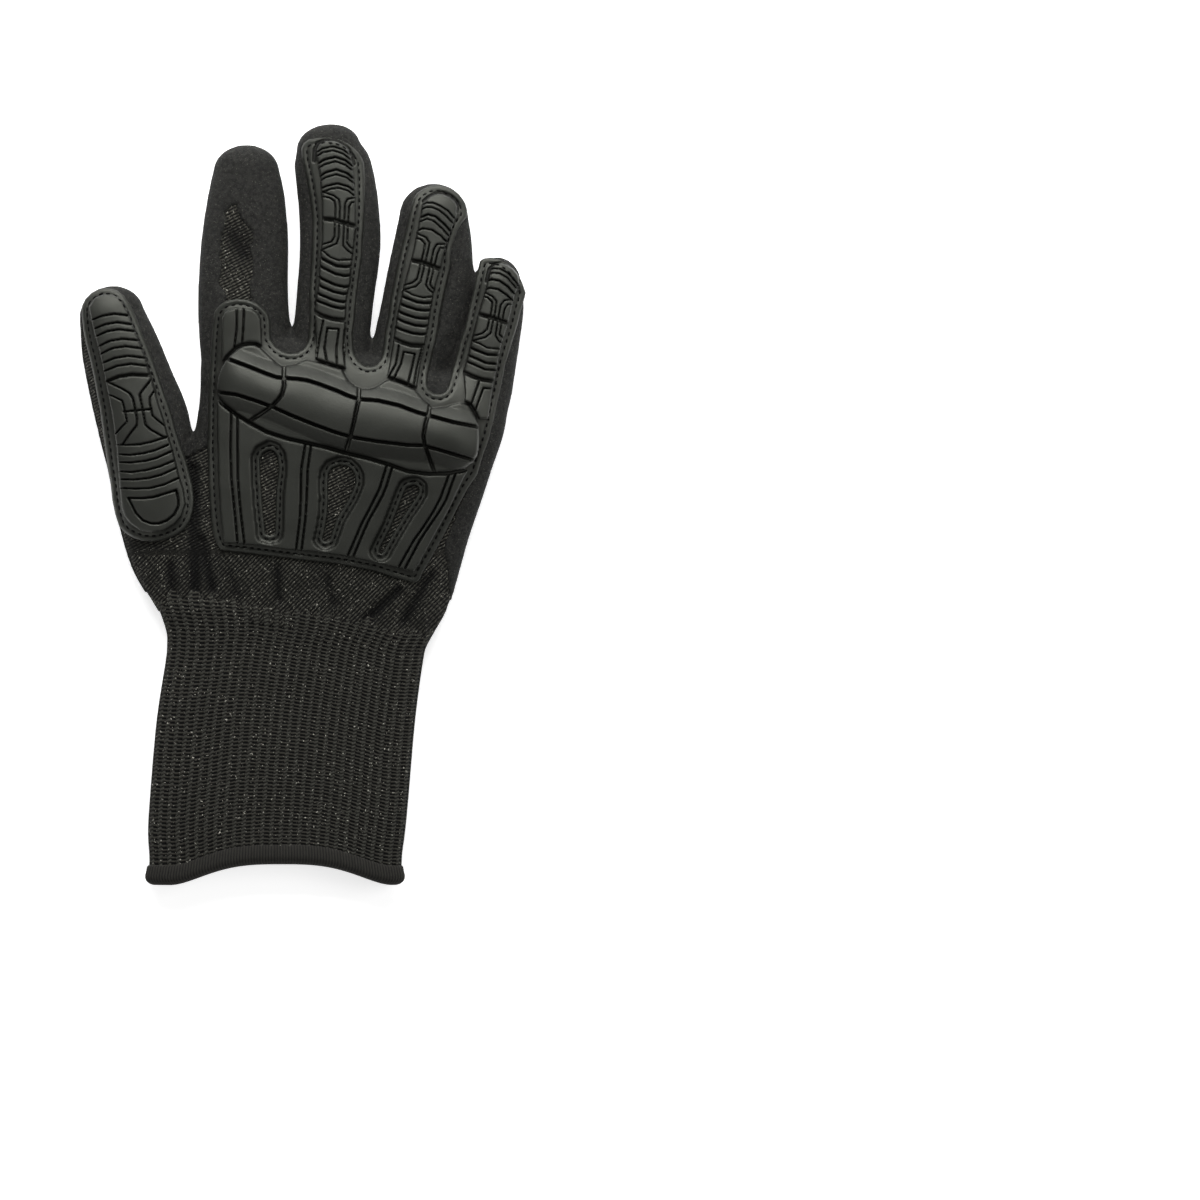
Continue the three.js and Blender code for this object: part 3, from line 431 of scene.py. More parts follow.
# Only the back has folds: from this height on, and fully this much higher. No cloth lies lower than the third value
BACK_FROM = 6
BACK_FADE = 5
SKIN_LOWEST = 0.5
# A fold this deep gets the full painted shade in the knit's colour
DARK_FOLD = 1.2
# Crumple of the cloth: its depth, then share and frequency of two noises
CRUMPLE = 0.8
CRUMPLES = ((0.35, 90), (0.2, 260))
# Gathers over the cuff: reach, depth and pitch, then how much they wander and how often
GATHER_REACH = 9
GATHER_DEPTH = 0.5
GATHER_PITCH = 6.6
GATHER_WANDER = (3, 60)

# Ragged edge of the dip: share and frequency of two noises, its wander, the height where everything is dipped, the
# raggedness of the
# bare window, wander and frequency of the lower edge, and rounds of smoothing
RAGGED = ((1, 170), (0.5, 520))
DIP_WANDER = 1.2
DIP_ALL = 40
BARE_RAGGED = 0.3
LOW_RAGGED = (1.6, 300)
DIP_SMOOTHINGS = 3
# The edge of the dip runs out on the knit, and the rest is sunk into it a little
RIM_LIFT = 0.05
COAT_SUNK = 0.1

# Cuff: rows made from one row of the table, points that measure round a section, points round a rib, rows of the
# mesh and wall
CUFF_STEPS = 12
CUFF_FINE = 2000
RIB_POINTS = 6
RIB_ROWS = 62
RIB_WALL = 1.3
# The ribs begin this far above their line, sunk under the knit, and end inside the hem; fades count in mesh lengths
RIB_START = 2.5
RIB_UNDER = 2.4
UNDER_FADE = 13
RIB_END = 1.5
RIB_OUT = 0.15
# Share of the full depth in the first row, how fast it grows, and how round the ribs are
RIB_FIRST = 0.25
RIB_FADE = 14
RIB_ROUND = 0.8
# The cuff's back swells in and out: depth, frequency round and along it, and the ribs' own share
SWELL = 0.35
SWELL_ROUND = 40
SWELL_ALONG = 0.05
SWELL_SEED = 1.7
RIB_SWELL = 0.12
# Hem: points round a stitch, lap over the ribs and relief of the thread
HEM_POINTS = 4
HEM_LAP = 0.4
HEM_THREAD = 0.1

# Seat of the guards: raster, margin round the outline, lowest cloth that counts, height beyond it and rounds of
# spreading and smoothing
SEAT_STEP = 1.2
SEAT_MARGIN = 6
SEAT_LOWEST = 8
SEAT_BEYOND = 8.5
SEAT_SPREADS = 10
SEAT_SMOOTHINGS = 3
# Sheet of a guard: edge of one cell in metres, and how far the half-size cells reach beside grooves, beds and pad
CELL = 0.52 * MM
FINE_BY_GROOVE = 0.55
FINE_BY_BED = 0.6
FINE_BY_PAD = 1.4
# Vertices nearer to a line than this share of a cell are moved onto it
SNAP = 0.23
# Details work on the vertices this near
NEAR = 2
NEAR_GROOVE = 3
# Knuckle pad: dome of the middle row, height at the foot of the slopes, their lengths and bend, its ends on the
# pattern sheet, drop and length of the ends, and its rounding against that of the beds
PAD_DOME = 0.9
PAD_FOOT = 4.2
PAD_SLOPES = (5.2, 5.6)
PAD_BEND = 1.2
PAD_ENDS = (219, 480)
PAD_END_DROP = 1.8
PAD_END_RUN = 9
PAD_ROUND = 1.5
PAD_BESIDE = 3
# Grooves: a relief higher than this many beds is cut this share deep, others down to this height over the flange;
# a groove in the flange itself leaves this share of it
DEEP_FROM = 1.2
DEEP_SHARE = 0.55
GROOVE_FLOOR = 0.4
FLANGE_LEFT = 0.4
GROOVE_ROUND = 0.5
# Shade: how dark and how far beside a bed, beside a groove and on the skirt
FOOT_SHADE = 0.85
FOOT_REACH = 1.1
GROOVE_SHADE = 0.4
GROOVE_REACH = 0.5
SKIRT_SHADE = 0.6
# Flange: seam inside its outer edge and inside a window's edge, half width and depth of the seam's channel, rounding of
# the edge and how far the skirt reaches into the cloth
SEAM_IN = 2.0
WINDOW_SEAM_IN = 1.5
SEAM_HALF = 0.7
SEAM_DEEP = 0.4
FLANGE_ROUND = 0.6
SKIRT_DEEP = 0.7
# Seam line: raster, smoothing, and the share of its distance below which a corner is left out
SEAM_STEP = 0.25
SEAM_LOOK = 3
SEAM_SMOOTHINGS = 12
SEAM_CORNER = 0.93
# Stitch: half length as a share of the pitch, half width and half height, and how high its middle lies
STITCH_LONG = 0.36
STITCH_WIDE = 0.38
STITCH_HIGH = 0.3
STITCH_LIFT = 0.08

# Sizes of the patterns. Fibre ends, sand, grain and plies are drawn two to four times as coarse as they are, to show
KNIT_ROW = 1.08
KNIT_LOOP = 1.9
FIBRE_END = 0.75
KNIT_PATCH = 9
FOAM = 1.3
SAND = 0.5
FOAM_PATCH = 8
COURSE_DRIFT = 5
HEM_FLUFF = 0.6
RUBBER_GRAIN = 0.5
RUBBER_PATCH = 11
PLY = 0.4
TABLE_PATCH = 60
# The diagonal rows of loops rise this much, in degrees, at the wrist and further up; they turn between these y
KNIT_RISE = (45, 27)
KNIT_TURN = (-18 * MM, -16 * MM)
# A wave texture of scale 1 repeats after this length
WAVE = math.pi / 10
# Rows of loops along the ribbed cuff, and how far the loops of a rib lean, in radians of a row
COURSES = 70
CHEVRON = -1.8

# Stage, in metres: half width of the floor; name, place, size and watts of each lamp; light of the air
FLOOR_HALF = 3
LAMPS = [
    ("key_light", (0.0, 0.47, 0.52), (0.6, 0.22), 4.3),
    ("low_key", (0.0, 0.85, 0.30), (0.9, 0.22), 6.6),
    ("fill_light", (1.4, 0.2, 1.3), (1.0, 1.0), 9),
    ("low_light", (-0.9, -1.1, 1.3), (1.0, 1.0), 7),
]
AIR_LIGHT = 0.14
# The camera looks straight down on the middle of a square picture of this many units of the pattern sheet
CAMERA_HIGH = 3.0
PICTURE = 1200
SENSOR = 36


def linear(code):
    """Linear colour of an sRGB hex value."""
    parts = [int(code[i:i + 2], 16) / 255 for i in (1, 3, 5)]
    return [c / 12.92 if c <= 0.04045 else ((c + 0.055) / 1.055) ** 2.4 for c in parts] + [1.0]


def colour(label, what, code):
    """Colour property that starts at an sRGB hex value."""
    return FloatVectorProperty(name=label, description=what, default=linear(code), subtype="COLOR", size=4)


def length(label, what, size):
    """Length property that starts at a size in mm."""
    return FloatProperty(name=label, description=what, default=size * MM, unit="LENGTH")


class ClothSizes(bpy.types.PropertyGroup):
    """Sizes and colours of the knitted and dipped cloth."""
    voxel: length("Skin cell", "Edge of one cell of the cloth's mesh", 1.15)
    wall: length("Knit thickness", "Thickness of the knitted liner", 1.2)
    coat: length("Coating thickness", "Thickness of the dipped coating", 0.6)
    ribs: IntProperty(name="Ribs", description="Ribs round the cuff", default=58)
    rib_depth: length("Rib depth", "Depth of the valleys between the ribs", 0.8)
    knit: colour("Knit", "Colour of the lit loops of the knit", "#4a4942")
    coating: colour("Coating", "Colour of the lit grains of the coating", "#242421")
    rib: colour("Rib colour", "Colour of the lit loops of the ribs", "#3a3a35")
    hem: colour("Hem", "Colour of the lit stitches of the hem", "#292824")


class GuardSizes(bpy.types.PropertyGroup):
    """Sizes and colour of the moulded rubber guards."""
    flange: length("Flange", "Thickness of the sewn flange", 1.3)
    bed: length("Raised beds", "Height of the raised beds over the flange", 2.7)
    round: length("Rounding", "Radius of the moulded edges", 0.75)
    pad: length("Knuckle pad", "Height of the knuckle pad's crown", 8.4)
    stitch: length("Stitch pitch", "Distance from stitch to stitch", 2.6)
    rubber: colour("Rubber", "Colour of the rubber", "#171816")


# ---- small tools ----

def add(tree, kind, inputs=(), out=0, **settings):
    """Adds a node and gives back one of its outputs; an input is a value or the output that it is linked to."""
    made = tree.nodes.new("ShaderNode" + kind)
    for name, value in settings.items():
        setattr(made, name, value)
    for name, value in dict(inputs).items():
        if isinstance(value, bpy.types.NodeSocket):
            tree.links.new(value, made.inputs[name])
        else:
            made.inputs[name].default_value = value
    return made.outputs[out] if made.outputs else None


def piece(name, bm):
    """Smooth object from a bmesh, at the origin, riding on the glove."""
    mesh = bpy.data.meshes.new(name)
    bm.to_mesh(mesh)
    bm.free()
    for polygon in mesh.polygons:
        polygon.use_smooth = True
    made = bpy.data.objects.new(name, mesh)
    bpy.context.scene.collection.objects.link(made)
    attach(made, "root")
    return made


def wall(made, thickness):
    """Gives a skin its thickness, inwards."""
    solid = made.modifiers.new("Wall", "SOLIDIFY")
    solid.thickness = thickness
    solid.offset = -1


def smooth(bm, verts, times):
    """Evens out vertices."""
    for _ in range(times):
        bmesh.ops.smooth_vert(bm, verts=verts, factor=0.5, use_axis_x=True, use_axis_y=True, use_axis_z=True)


def below(tree, x, y):
    """Place and normal of the first surface straight under a place, or None twice."""
    return tree.ray_cast(Vector((x, y, RAY_TOP)), DOWN)[:2]


def bend(value, square):
    """Signed power that bends a circle into a squarer outline."""
    return math.copysign(abs(value) ** (2 / square), value)


def smooth_rows(rows, steps):
    """Rows of a table, joined by a smooth curve through each column."""
    table = np.array(rows, float)
    table = np.vstack([2 * table[0] - table[1], table, 2 * table[-1] - table[-2]])
    made = []
    for i in range(1, len(table) - 2):
        a, b, c, d = table[i - 1:i + 3]
        for t in np.arange(steps) / steps:
            made.append(0.5 * (2 * b + (c - a) * t + (2 * a - 5 * b + 4 * c - d) * t ** 2
                               + (3 * b - a - 3 * c + d) * t ** 3))
    return made + [table[-2]]


def tube(bm, points, rings, place):
    """Closed tube: a grid rolled up over rings, each ring given as the arguments of place, and joined at its seam."""
    layer = bm.loops.layers.uv.verify()
    made = bmesh.ops.create_grid(bm, x_segments=points, y_segments=len(rings) - 1, size=1)
    faces = {face for vert in made["verts"] for face in vert.link_faces}
    for face in faces:
        for loop in face.loops:
            loop[layer].uv = ((loop.vert.co.x + 1) / 2, (loop.vert.co.y + 1) / 2)
    for vert in made["verts"]:
        ring = rings[round((vert.co.y + 1) / 2 * (len(rings) - 1))]
        vert.co = place(math.pi * (vert.co.x + 1), *ring)
    bmesh.ops.remove_doubles(bm, verts=made["verts"], dist=SAME)


def section(turn, row, square, grow, shrink=1, forward=0):
    """Point of one section, grown by a distance in mm; result in metres."""
    x, y, half, high, lean = row
    lean = math.radians(lean)
    wide = (half + grow) * shrink * bend(math.cos(turn), square)
    tall = (high + grow) * shrink * bend(math.sin(turn), square)
    z = max(high - PRESS + tall, -grow)
    return Vector((x + wide * math.cos(lean) - forward * math.sin(lean),
                   y + wide * math.sin(lean) + forward * math.cos(lean), z)) * MM


def limb(bm, rows, cap, square, points):
    """Closed tube over a table of sections with a rounded root and tip."""
    rows = smooth_rows(rows, LIMB_STEPS)
    grow = KNIT_UNDER
    turns = [math.radians(angle) for angle in END_ANGLES]
    root = [(rows[0], square, grow, math.cos(t), -(ROOT_CAP + grow) * math.sin(t)) for t in turns]
    tip = [(rows[-1], square, grow, math.cos(t), (cap + grow) * math.sin(t)) for t in reversed(turns)]
    tube(bm, points, root + [(row, square, grow) for row in rows] + tip, section)


def remeshed(name, bm, voxel):
    """The mesh of a bmesh after a voxel remesh."""
    mesh = bpy.data.meshes.new(name)
    bm.to_mesh(mesh)
    bm.free()
    rough = bpy.data.objects.new(name, mesh)
    bpy.context.scene.collection.objects.link(rough)
    remesh = rough.modifiers.new("Remesh", "REMESH")
    remesh.mode = "VOXEL"
    remesh.voxel_size = voxel
    made = bpy.data.meshes.new_from_object(rough.evaluated_get(bpy.context.evaluated_depsgraph_get()))
    bpy.data.objects.remove(rough)
    fresh = bmesh.new()
    fresh.from_mesh(made)
    bpy.data.meshes.remove(made)
    return fresh


def closed(outline):
    """Outline that ends where it starts."""
    return np.vstack([outline, outline[:1]])


def lengths(line):
    """Running length at each point of a line."""
    return np.concatenate([[0], np.cumsum(np.linalg.norm(np.diff(line, axis=0), axis=1))])


def places_on(line, spots):
    """Places on a line at running lengths."""
    run = lengths(line)
    return np.stack([np.interp(spots, run, line[:, k]) for k in (0, 1)], axis=1)


def nearest(points, line):
    """Distance from each point to a line and the nearest place on it."""
    best = np.full(len(points), np.inf)
    foot = points.copy()
    for a, b in zip(line[:-1], line[1:]):
        along = b - a
        share = np.clip(((points - a) @ along) / max(along @ along, 1e-18), 0, 1)
        place = a + share[:, None] * along
        far = np.hypot(*(points - place).T)
        closer = far < best
        best[closer] = far[closer]
        foot[closer] = place[closer]
    return best, foot


def nearest_of(points, lines):
    """The same for several lines."""
    best = np.full(len(points), np.inf)
    foot = points.copy()
    for line in lines:
        far, place = nearest(points, line)
        closer = far < best
        best[closer] = far[closer]
        foot[closer] = place[closer]
    return best, foot


def boxed(points, line, reach):
    """Indices of the points in the box of a line."""
    return np.flatnonzero(((points > line.min(axis=0) - reach) & (points < line.max(axis=0) + reach)).all(axis=1))


def inside(points, outline):
    """Which points lie inside an outline."""
    odd = np.zeros(len(points), bool)
    for a, b in zip(outline, np.roll(outline, -1, axis=0)):
        crosses = (a[1] > points[:, 1]) != (b[1] > points[:, 1])
        if a[1] != b[1]:
            reach = a[0] + (points[:, 1] - a[1]) / (b[1] - a[1]) * (b[0] - a[0])
            odd ^= crosses & (points[:, 0] < reach)
    return odd


# ---- the knitted skin and its coating ----

# The tree of the skin's faces, which the cloth's operator leaves for the guards
SKIN = {}
DIPPED_AREA = drawn(DIPPED)
RIB_PLACES = drawn(RIB_LINE)


def noises(place, parts):
    """Sum of noises at a place, each with its share and frequency."""
    return sum(share * noise.noise(Vector(place) * often) for share, often in parts)


def rib_line(x):
    """Where the ribs of the cuff start at a given x."""
    return float(np.interp(x, RIB_PLACES[:, 0], RIB_PLACES[:, 1]))


def fold_at(x, y):
    """How far the cloth of the back sinks at a place, in metres."""
    sink = 0.0
    for u0, v0, u1, v1, depth, width in FOLDS:
        a, b = Vector(sheet(u0, v0)), Vector(sheet(u1, v1))
        along = b - a
        share = min(max((Vector((x, y)) - a).dot(along) / along.length_squared, 0), 1)
        far = (Vector((x, y)) - a - share * along).length
        sink += depth * MM * math.exp(-(far / (width * MM)) ** 2)
    return sink


def gather_at(x, y):
    """Small upright gathers of the knit just above the cuff."""
    away = (y - rib_line(x)) / (GATHER_REACH * MM)
    if not 0 <= away < 1:
        return 0.0
    wander, often = GATHER_WANDER
    turn = x / MM * 2 * math.pi / GATHER_PITCH + wander * noise.noise(Vector((x, y, 0)) * often)
    return GATHER_DEPTH * MM * (1 - away) * math.cos(turn)


def skin_mesh(sizes):
    """Closed solid of the hand and fingers with its folds, and the share of painted shade in each fold."""
    bm = bmesh.new()
    limb(bm, HAND, HAND_CAP, HAND_SQUARE, HAND_POINTS)
    for cap, rows in FINGERS.values():
        limb(bm, rows, cap, FINGER_SQUARE, FINGER_POINTS)
    bm = remeshed("skin", bm, sizes.voxel)
    smooth(bm, bm.verts, SKIN_SMOOTHINGS)
    # Painted shade: how far the knit's colour is darkened in the folds of the back
    painted_crease_shade = bm.verts.layers.float.new("painted_crease_shade")
    for vert in bm.verts:
        x, y, z = vert.co
        upper = min(max((z - BACK_FROM * MM) / (BACK_FADE * MM), 0), 1)
        fold = fold_at(x, y)
        vert[painted_crease_shade] = upper * min(max(fold / (DARK_FOLD * MM), 0), 1)
        crumple = noises((x, y, z), CRUMPLES)
        vert.co.z -= upper * (fold + gather_at(x, y) - CRUMPLE * crumple * MM)
        vert.co.z = max(vert.co.z, SKIN_LOWEST * MM)
    return bm


def dip_edge(x, y):
    """How high the coating climbs at a place, in metres."""
    ragged = noises((x, y, 0), RAGGED)
    spot = np.array([[x, y]]) + ragged * DIP_WANDER * MM
    if inside(spot, DIPPED_AREA)[0]:
        middle_u, middle_v, half_u, half_v = BARE
        u, v = x / UNIT + SHEET_X, SHEET_Y - y / UNIT
        out = math.hypot((u - middle_u) / half_u, (v - middle_v) / half_v)
        return (DIP_ALL if out > 1 + BARE_RAGGED * ragged else DIP_HEIGHT) * MM
    return (DIP_HEIGHT + DIP_RAGGED * ragged) * MM


def is_coated(point):
    """Whether the dip reached a place on the skin."""
    (x0, y0), (x1, y1) = DIP_LOW
    wander, often = LOW_RAGGED
    ragged = wander * noise.noise(Vector((point.x, 0, 0)) * often)
    low = (y0 + (point.x / MM - x0) / (x1 - x0) * (y1 - y0) + ragged) * MM
    return point.y > low and point.z < dip_edge(point.x, point.y)


class GLOVE_OT_cloth(bpy.types.Operator):
    """Build the knitted liner and the dipped coating over it"""
    bl_idname = "glove.cloth"
    bl_label = "Liner and coating"

    def execute(self, context):
        sizes = context.scene.glove_cloth
        skin = skin_mesh(sizes)
        SKIN["tree"] = BVHTree.FromBMesh(skin)
        self.liner(skin.copy(), sizes)
        self.coating(skin, sizes)
        return {"FINISHED"}

    def liner(self, knit, sizes):
        """The whole skin down to the cuff."""
        (x0, y0), (x1, y1) = LINER_END
        cut = knit.verts[:] + knit.edges[:] + knit.faces[:]
        bmesh.ops.bisect_plane(knit, geom=cut, plane_co=Vector((x0, y0, 0)) * MM, plane_no=(y1 - y0, x0 - x1, 0),
                               clear_outer=True)
        bmesh.ops.recalc_face_normals(knit, faces=knit.faces)
        liner = piece("knit_liner", knit)
        wall(liner, sizes.wall)
        liner.data.materials.append(knit_material(sizes))
        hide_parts("hand_liner", "thumb_stall", "index_stall", "middle_stall", "ring_stall", "little_stall")

    def coating(self, skin, sizes):
        """The dipped part of the skin, laid over the liner."""
        bare = [face for face in skin.faces if not is_coated(face.calc_center_median())]
        bmesh.ops.delete(skin, geom=bare, context="FACES")
        smooth(skin, [vert for vert in skin.verts if vert.is_boundary], DIP_SMOOTHINGS)
        skin.normal_update()
        for vert in skin.verts:
            vert.co += vert.normal * (RIM_LIFT * MM if vert.is_boundary else sizes.coat - COAT_SUNK * MM)
            vert.co.z = max(vert.co.z, 0)
        coating = piece("dipped_coating", skin)
        wall(coating, sizes.coat)
        coating.data.materials.append(coating_material(sizes))
        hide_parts("palm_coating")


# ---- the cuff ----

def arch_at(x):
    """How far the middle of the cuff's end is pulled back, in mm."""
    middle, half, rise = HEM_ARCH
    out = min(abs(x / MM - middle) / half, 1)
    return rise * (1 - out ** 3) ** 2


def cuff_point(turn, row, grow):
    """Point of one section of the cuff, grown by a distance in mm; result in metres."""
    x, y, half, high = row
    wide = (half + grow) * bend(math.cos(turn), CUFF_SQUARE)
    tall = (high + grow) * bend(math.sin(turn), CUFF_SQUARE)
    return Vector((x + wide, y, max(high - PRESS + tall, -grow))) * MM


def even_turns(count, row):
    """Turns that space points evenly round a cuff section."""
    fine = np.linspace(0, 2 * math.pi, CUFF_FINE)
    run = lengths(np.array([cuff_point(turn, row, 0) for turn in fine]))
    return np.interp(np.linspace(0, run[-1], count + 1), run, fine)


def row_at(rows, y):
    """Cuff section at a given y."""
    ys = [-row[1] for row in rows]
    return [float(np.interp(-y, ys, [row[k] for row in rows])) for k in range(4)]


class GLOVE_OT_cuff(bpy.types.Operator):
    """Build the ribbed cuff and its hem"""
    bl_idname = "glove.cuff"
    bl_label = "Cuff"

    def execute(self, context):
        sizes = context.scene.glove_cloth
        rows = smooth_rows(CUFF, CUFF_STEPS)
        self.ribs(rows, sizes)
        self.hem(rows[-1], sizes)
        return {"FINISHED"}

    def ribs(self, rows, sizes):
        """Tube of ribs that grows out from under the knit and ends inside the hem."""
        points = sizes.ribs * RIB_POINTS
        turns = even_turns(points, CUFF[3])

        def place(turn, share):
            true_turn = turns[round(turn / (2 * math.pi) * points)]
            rib = turn / (2 * math.pi) * sizes.ribs
            x = cuff_point(true_turn, rows[0], 0).x
            begin = rib_line(x) / MM + RIB_START
            end = HEM_TOP - RIB_END + arch_at(cuff_point(true_turn, rows[-1], 0).x)
            y = begin + (end - begin) * share
            full = RIB_FIRST + (1 - RIB_FIRST) * min(share * RIB_FADE, 1)
            valley = sizes.rib_depth / MM * full * (0.5 - 0.5 * math.cos(2 * math.pi * rib)) ** RIB_ROUND
            swell = (SWELL * noise.noise(Vector((x * SWELL_ROUND, y * SWELL_ALONG, SWELL_SEED)))
                     + RIB_SWELL * noise.noise(Vector((rib * 0.5, share * 3, 0))))
            under = RIB_UNDER * (1 - min(share * UNDER_FADE, 1)) ** 2
            grow = RIB_OUT - valley - under + swell * max(math.sin(true_turn), 0)
            point = cuff_point(true_turn, row_at(rows, y), grow)
            point.y = y * MM
            return point

        bm = bmesh.new()
        tube(bm, points, [(i / RIB_ROWS,) for i in range(RIB_ROWS + 1)], place)
        bmesh.ops.recalc_face_normals(bm, faces=bm.faces)
        ribs = piece("cuff_rib_knit", bm)
        wall(ribs, RIB_WALL * MM)
        ribs.data.materials.append(rib_material(sizes))
        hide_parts("cuff_rib")

    def hem(self, last, sizes):
        """Band of thread round the cuff's end."""
        points = HEM_STITCHES * HEM_POINTS
        turns = even_turns(points, last)

        def place(turn, down, out):
            thread = HEM_THREAD * math.cos(turn * HEM_STITCHES) if out > 0 else 0
            point = cuff_point(turns[round(turn / (2 * math.pi) * points)], last, out + thread)
            point.y = (HEM_TOP + HEM_LAP + arch_at(point.x) - HEM_LENGTH * down) * MM
            point.z = max(point.z, 0)
            return point

        bm = bmesh.new()
        tube(bm, points, HEM_SECTION, place)
        bmesh.ops.recalc_face_normals(bm, faces=bm.faces)
        hem = piece("cuff_hem_overlock", bm)
        hem.data.materials.append(hem_material(sizes))
        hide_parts("cuff_hem")


# ---- the guards ----

def evened(field, own=0):
    """Field in which each value is the mean of its four neighbours and, with this weight, its own."""
    padded = np.pad(field, 1, mode="edge")
    around = padded[:-2, 1:-1] + padded[2:, 1:-1] + padded[1:-1, :-2] + padded[1:-1, 2:]
    return (around + own * field) / (4 + own)


def seat_field(outline):
    """Smoothed height of the cloth under a guard, as a function of arrays of points."""
    step = SEAT_STEP * MM
    low = outline.min(axis=0) - SEAT_MARGIN * MM
    high = outline.max(axis=0) + SEAT_MARGIN * MM
    xs = np.arange(low[0], high[0], step)
    ys = np.arange(low[1], high[1], step)
    field = np.full((len(xs), len(ys)), np.nan)
    for i, x in enumerate(xs):
        for j, y in enumerate(ys):
            place = below(SKIN["tree"], x, y)[0]
            if place is not None and place.z > SEAT_LOWEST * MM:
                field[i, j] = place.z
    known = ~np.isnan(field)
    filled = np.where(known, field, SEAT_BEYOND * MM)
    for _ in range(SEAT_SPREADS):
        mean = evened(filled)
        filled = np.where(known, np.maximum(mean, field), mean)
    for _ in range(SEAT_SMOOTHINGS):
        filled = evened(filled, 4)

    def height(points):
        i = np.clip((points[:, 0] - low[0]) / step, 0, len(xs) - 1.001)
        j = np.clip((points[:, 1] - low[1]) / step, 0, len(ys) - 1.001)
        a, b = i.astype(int), j.astype(int)
        s, t = i - a, j - b
        return (filled[a, b] * (1 - s) * (1 - t) + filled[a + 1, b] * s * (1 - t)
                + filled[a, b + 1] * (1 - s) * t + filled[a + 1, b + 1] * s * t)

    return height


def rounding(far, radius):
    """How far a moulded edge of this radius lies below its top at a distance from the edge."""
    inner = np.clip(radius - far, 0, radius)
    return radius - np.sqrt(radius ** 2 - inner ** 2)


def pad_rise(points, crown):
    """Height of the knuckle pad: sloping upper and lower rows and a crowned middle row."""
    x, y = points.T
    upper, lower = [np.interp(x, *drawn(line).T) for line in (PAD_UPPER, PAD_LOWER)]
    across = (y - lower) / np.maximum(upper - lower, 1e-4)
    edge = crown - PAD_DOME * MM
    rise = crown - PAD_DOME * MM * (2 * across - 1) ** 2
    for beyond, past, run in ((across > 1, y - upper, PAD_SLOPES[0]), (across < 0, lower - y, PAD_SLOPES[1])):
        slope = np.clip(past / (run * MM), 0, 1) ** PAD_BEND
        rise = np.where(beyond, edge - (crown - PAD_FOOT * MM) * slope, rise)
    left, right = [sheet(u, 0)[0] for u in PAD_ENDS]
    ends = np.minimum(x - left, right - x)
    return rise - PAD_END_DROP * MM * (1 - np.clip(ends / (PAD_END_RUN * MM), 0, 1)) ** 2


def sheet_of_cells(edge, holes, lines):
    """Flat sheet of square cells inside an outline, with cells of half the size along the given lines."""
    low, high = edge.min(axis=0) - CELL, edge.max(axis=0) + CELL
    count = np.ceil((high - low) / CELL).astype(int)
    middle = (low + high) / 2
    bm = bmesh.new()
    matrix = Matrix.Translation((middle[0], middle[1], 0)) @ Matrix.Diagonal(
        (count[0] * CELL / 2, count[1] * CELL / 2, 1, 1))
    bmesh.ops.create_grid(bm, x_segments=int(count[0]), y_segments=int(count[1]), size=1, matrix=matrix)
    bm.faces.ensure_lookup_table()
    centres = np.array([face.calc_center_median()[:2] for face in bm.faces])
    keep = inside(centres, edge)
    for hole in holes:
        keep &= ~inside(centres, hole)
    fine = np.zeros(len(centres), bool)
    for line, reach in lines:
        near = boxed(centres, line, reach + CELL)
        fine[near] |= nearest(centres[near], line)[0] < reach
    edges = {e for face, kept, cut in zip(bm.faces, keep, fine) if kept and cut for e in face.edges}
    bmesh.ops.delete(bm, geom=[face for face, kept in zip(bm.faces, keep) if not kept], context="FACES")
    bmesh.ops.subdivide_edges(bm, edges=[e for e in edges if e.is_valid], cuts=1, use_grid_fill=True)
    return bm


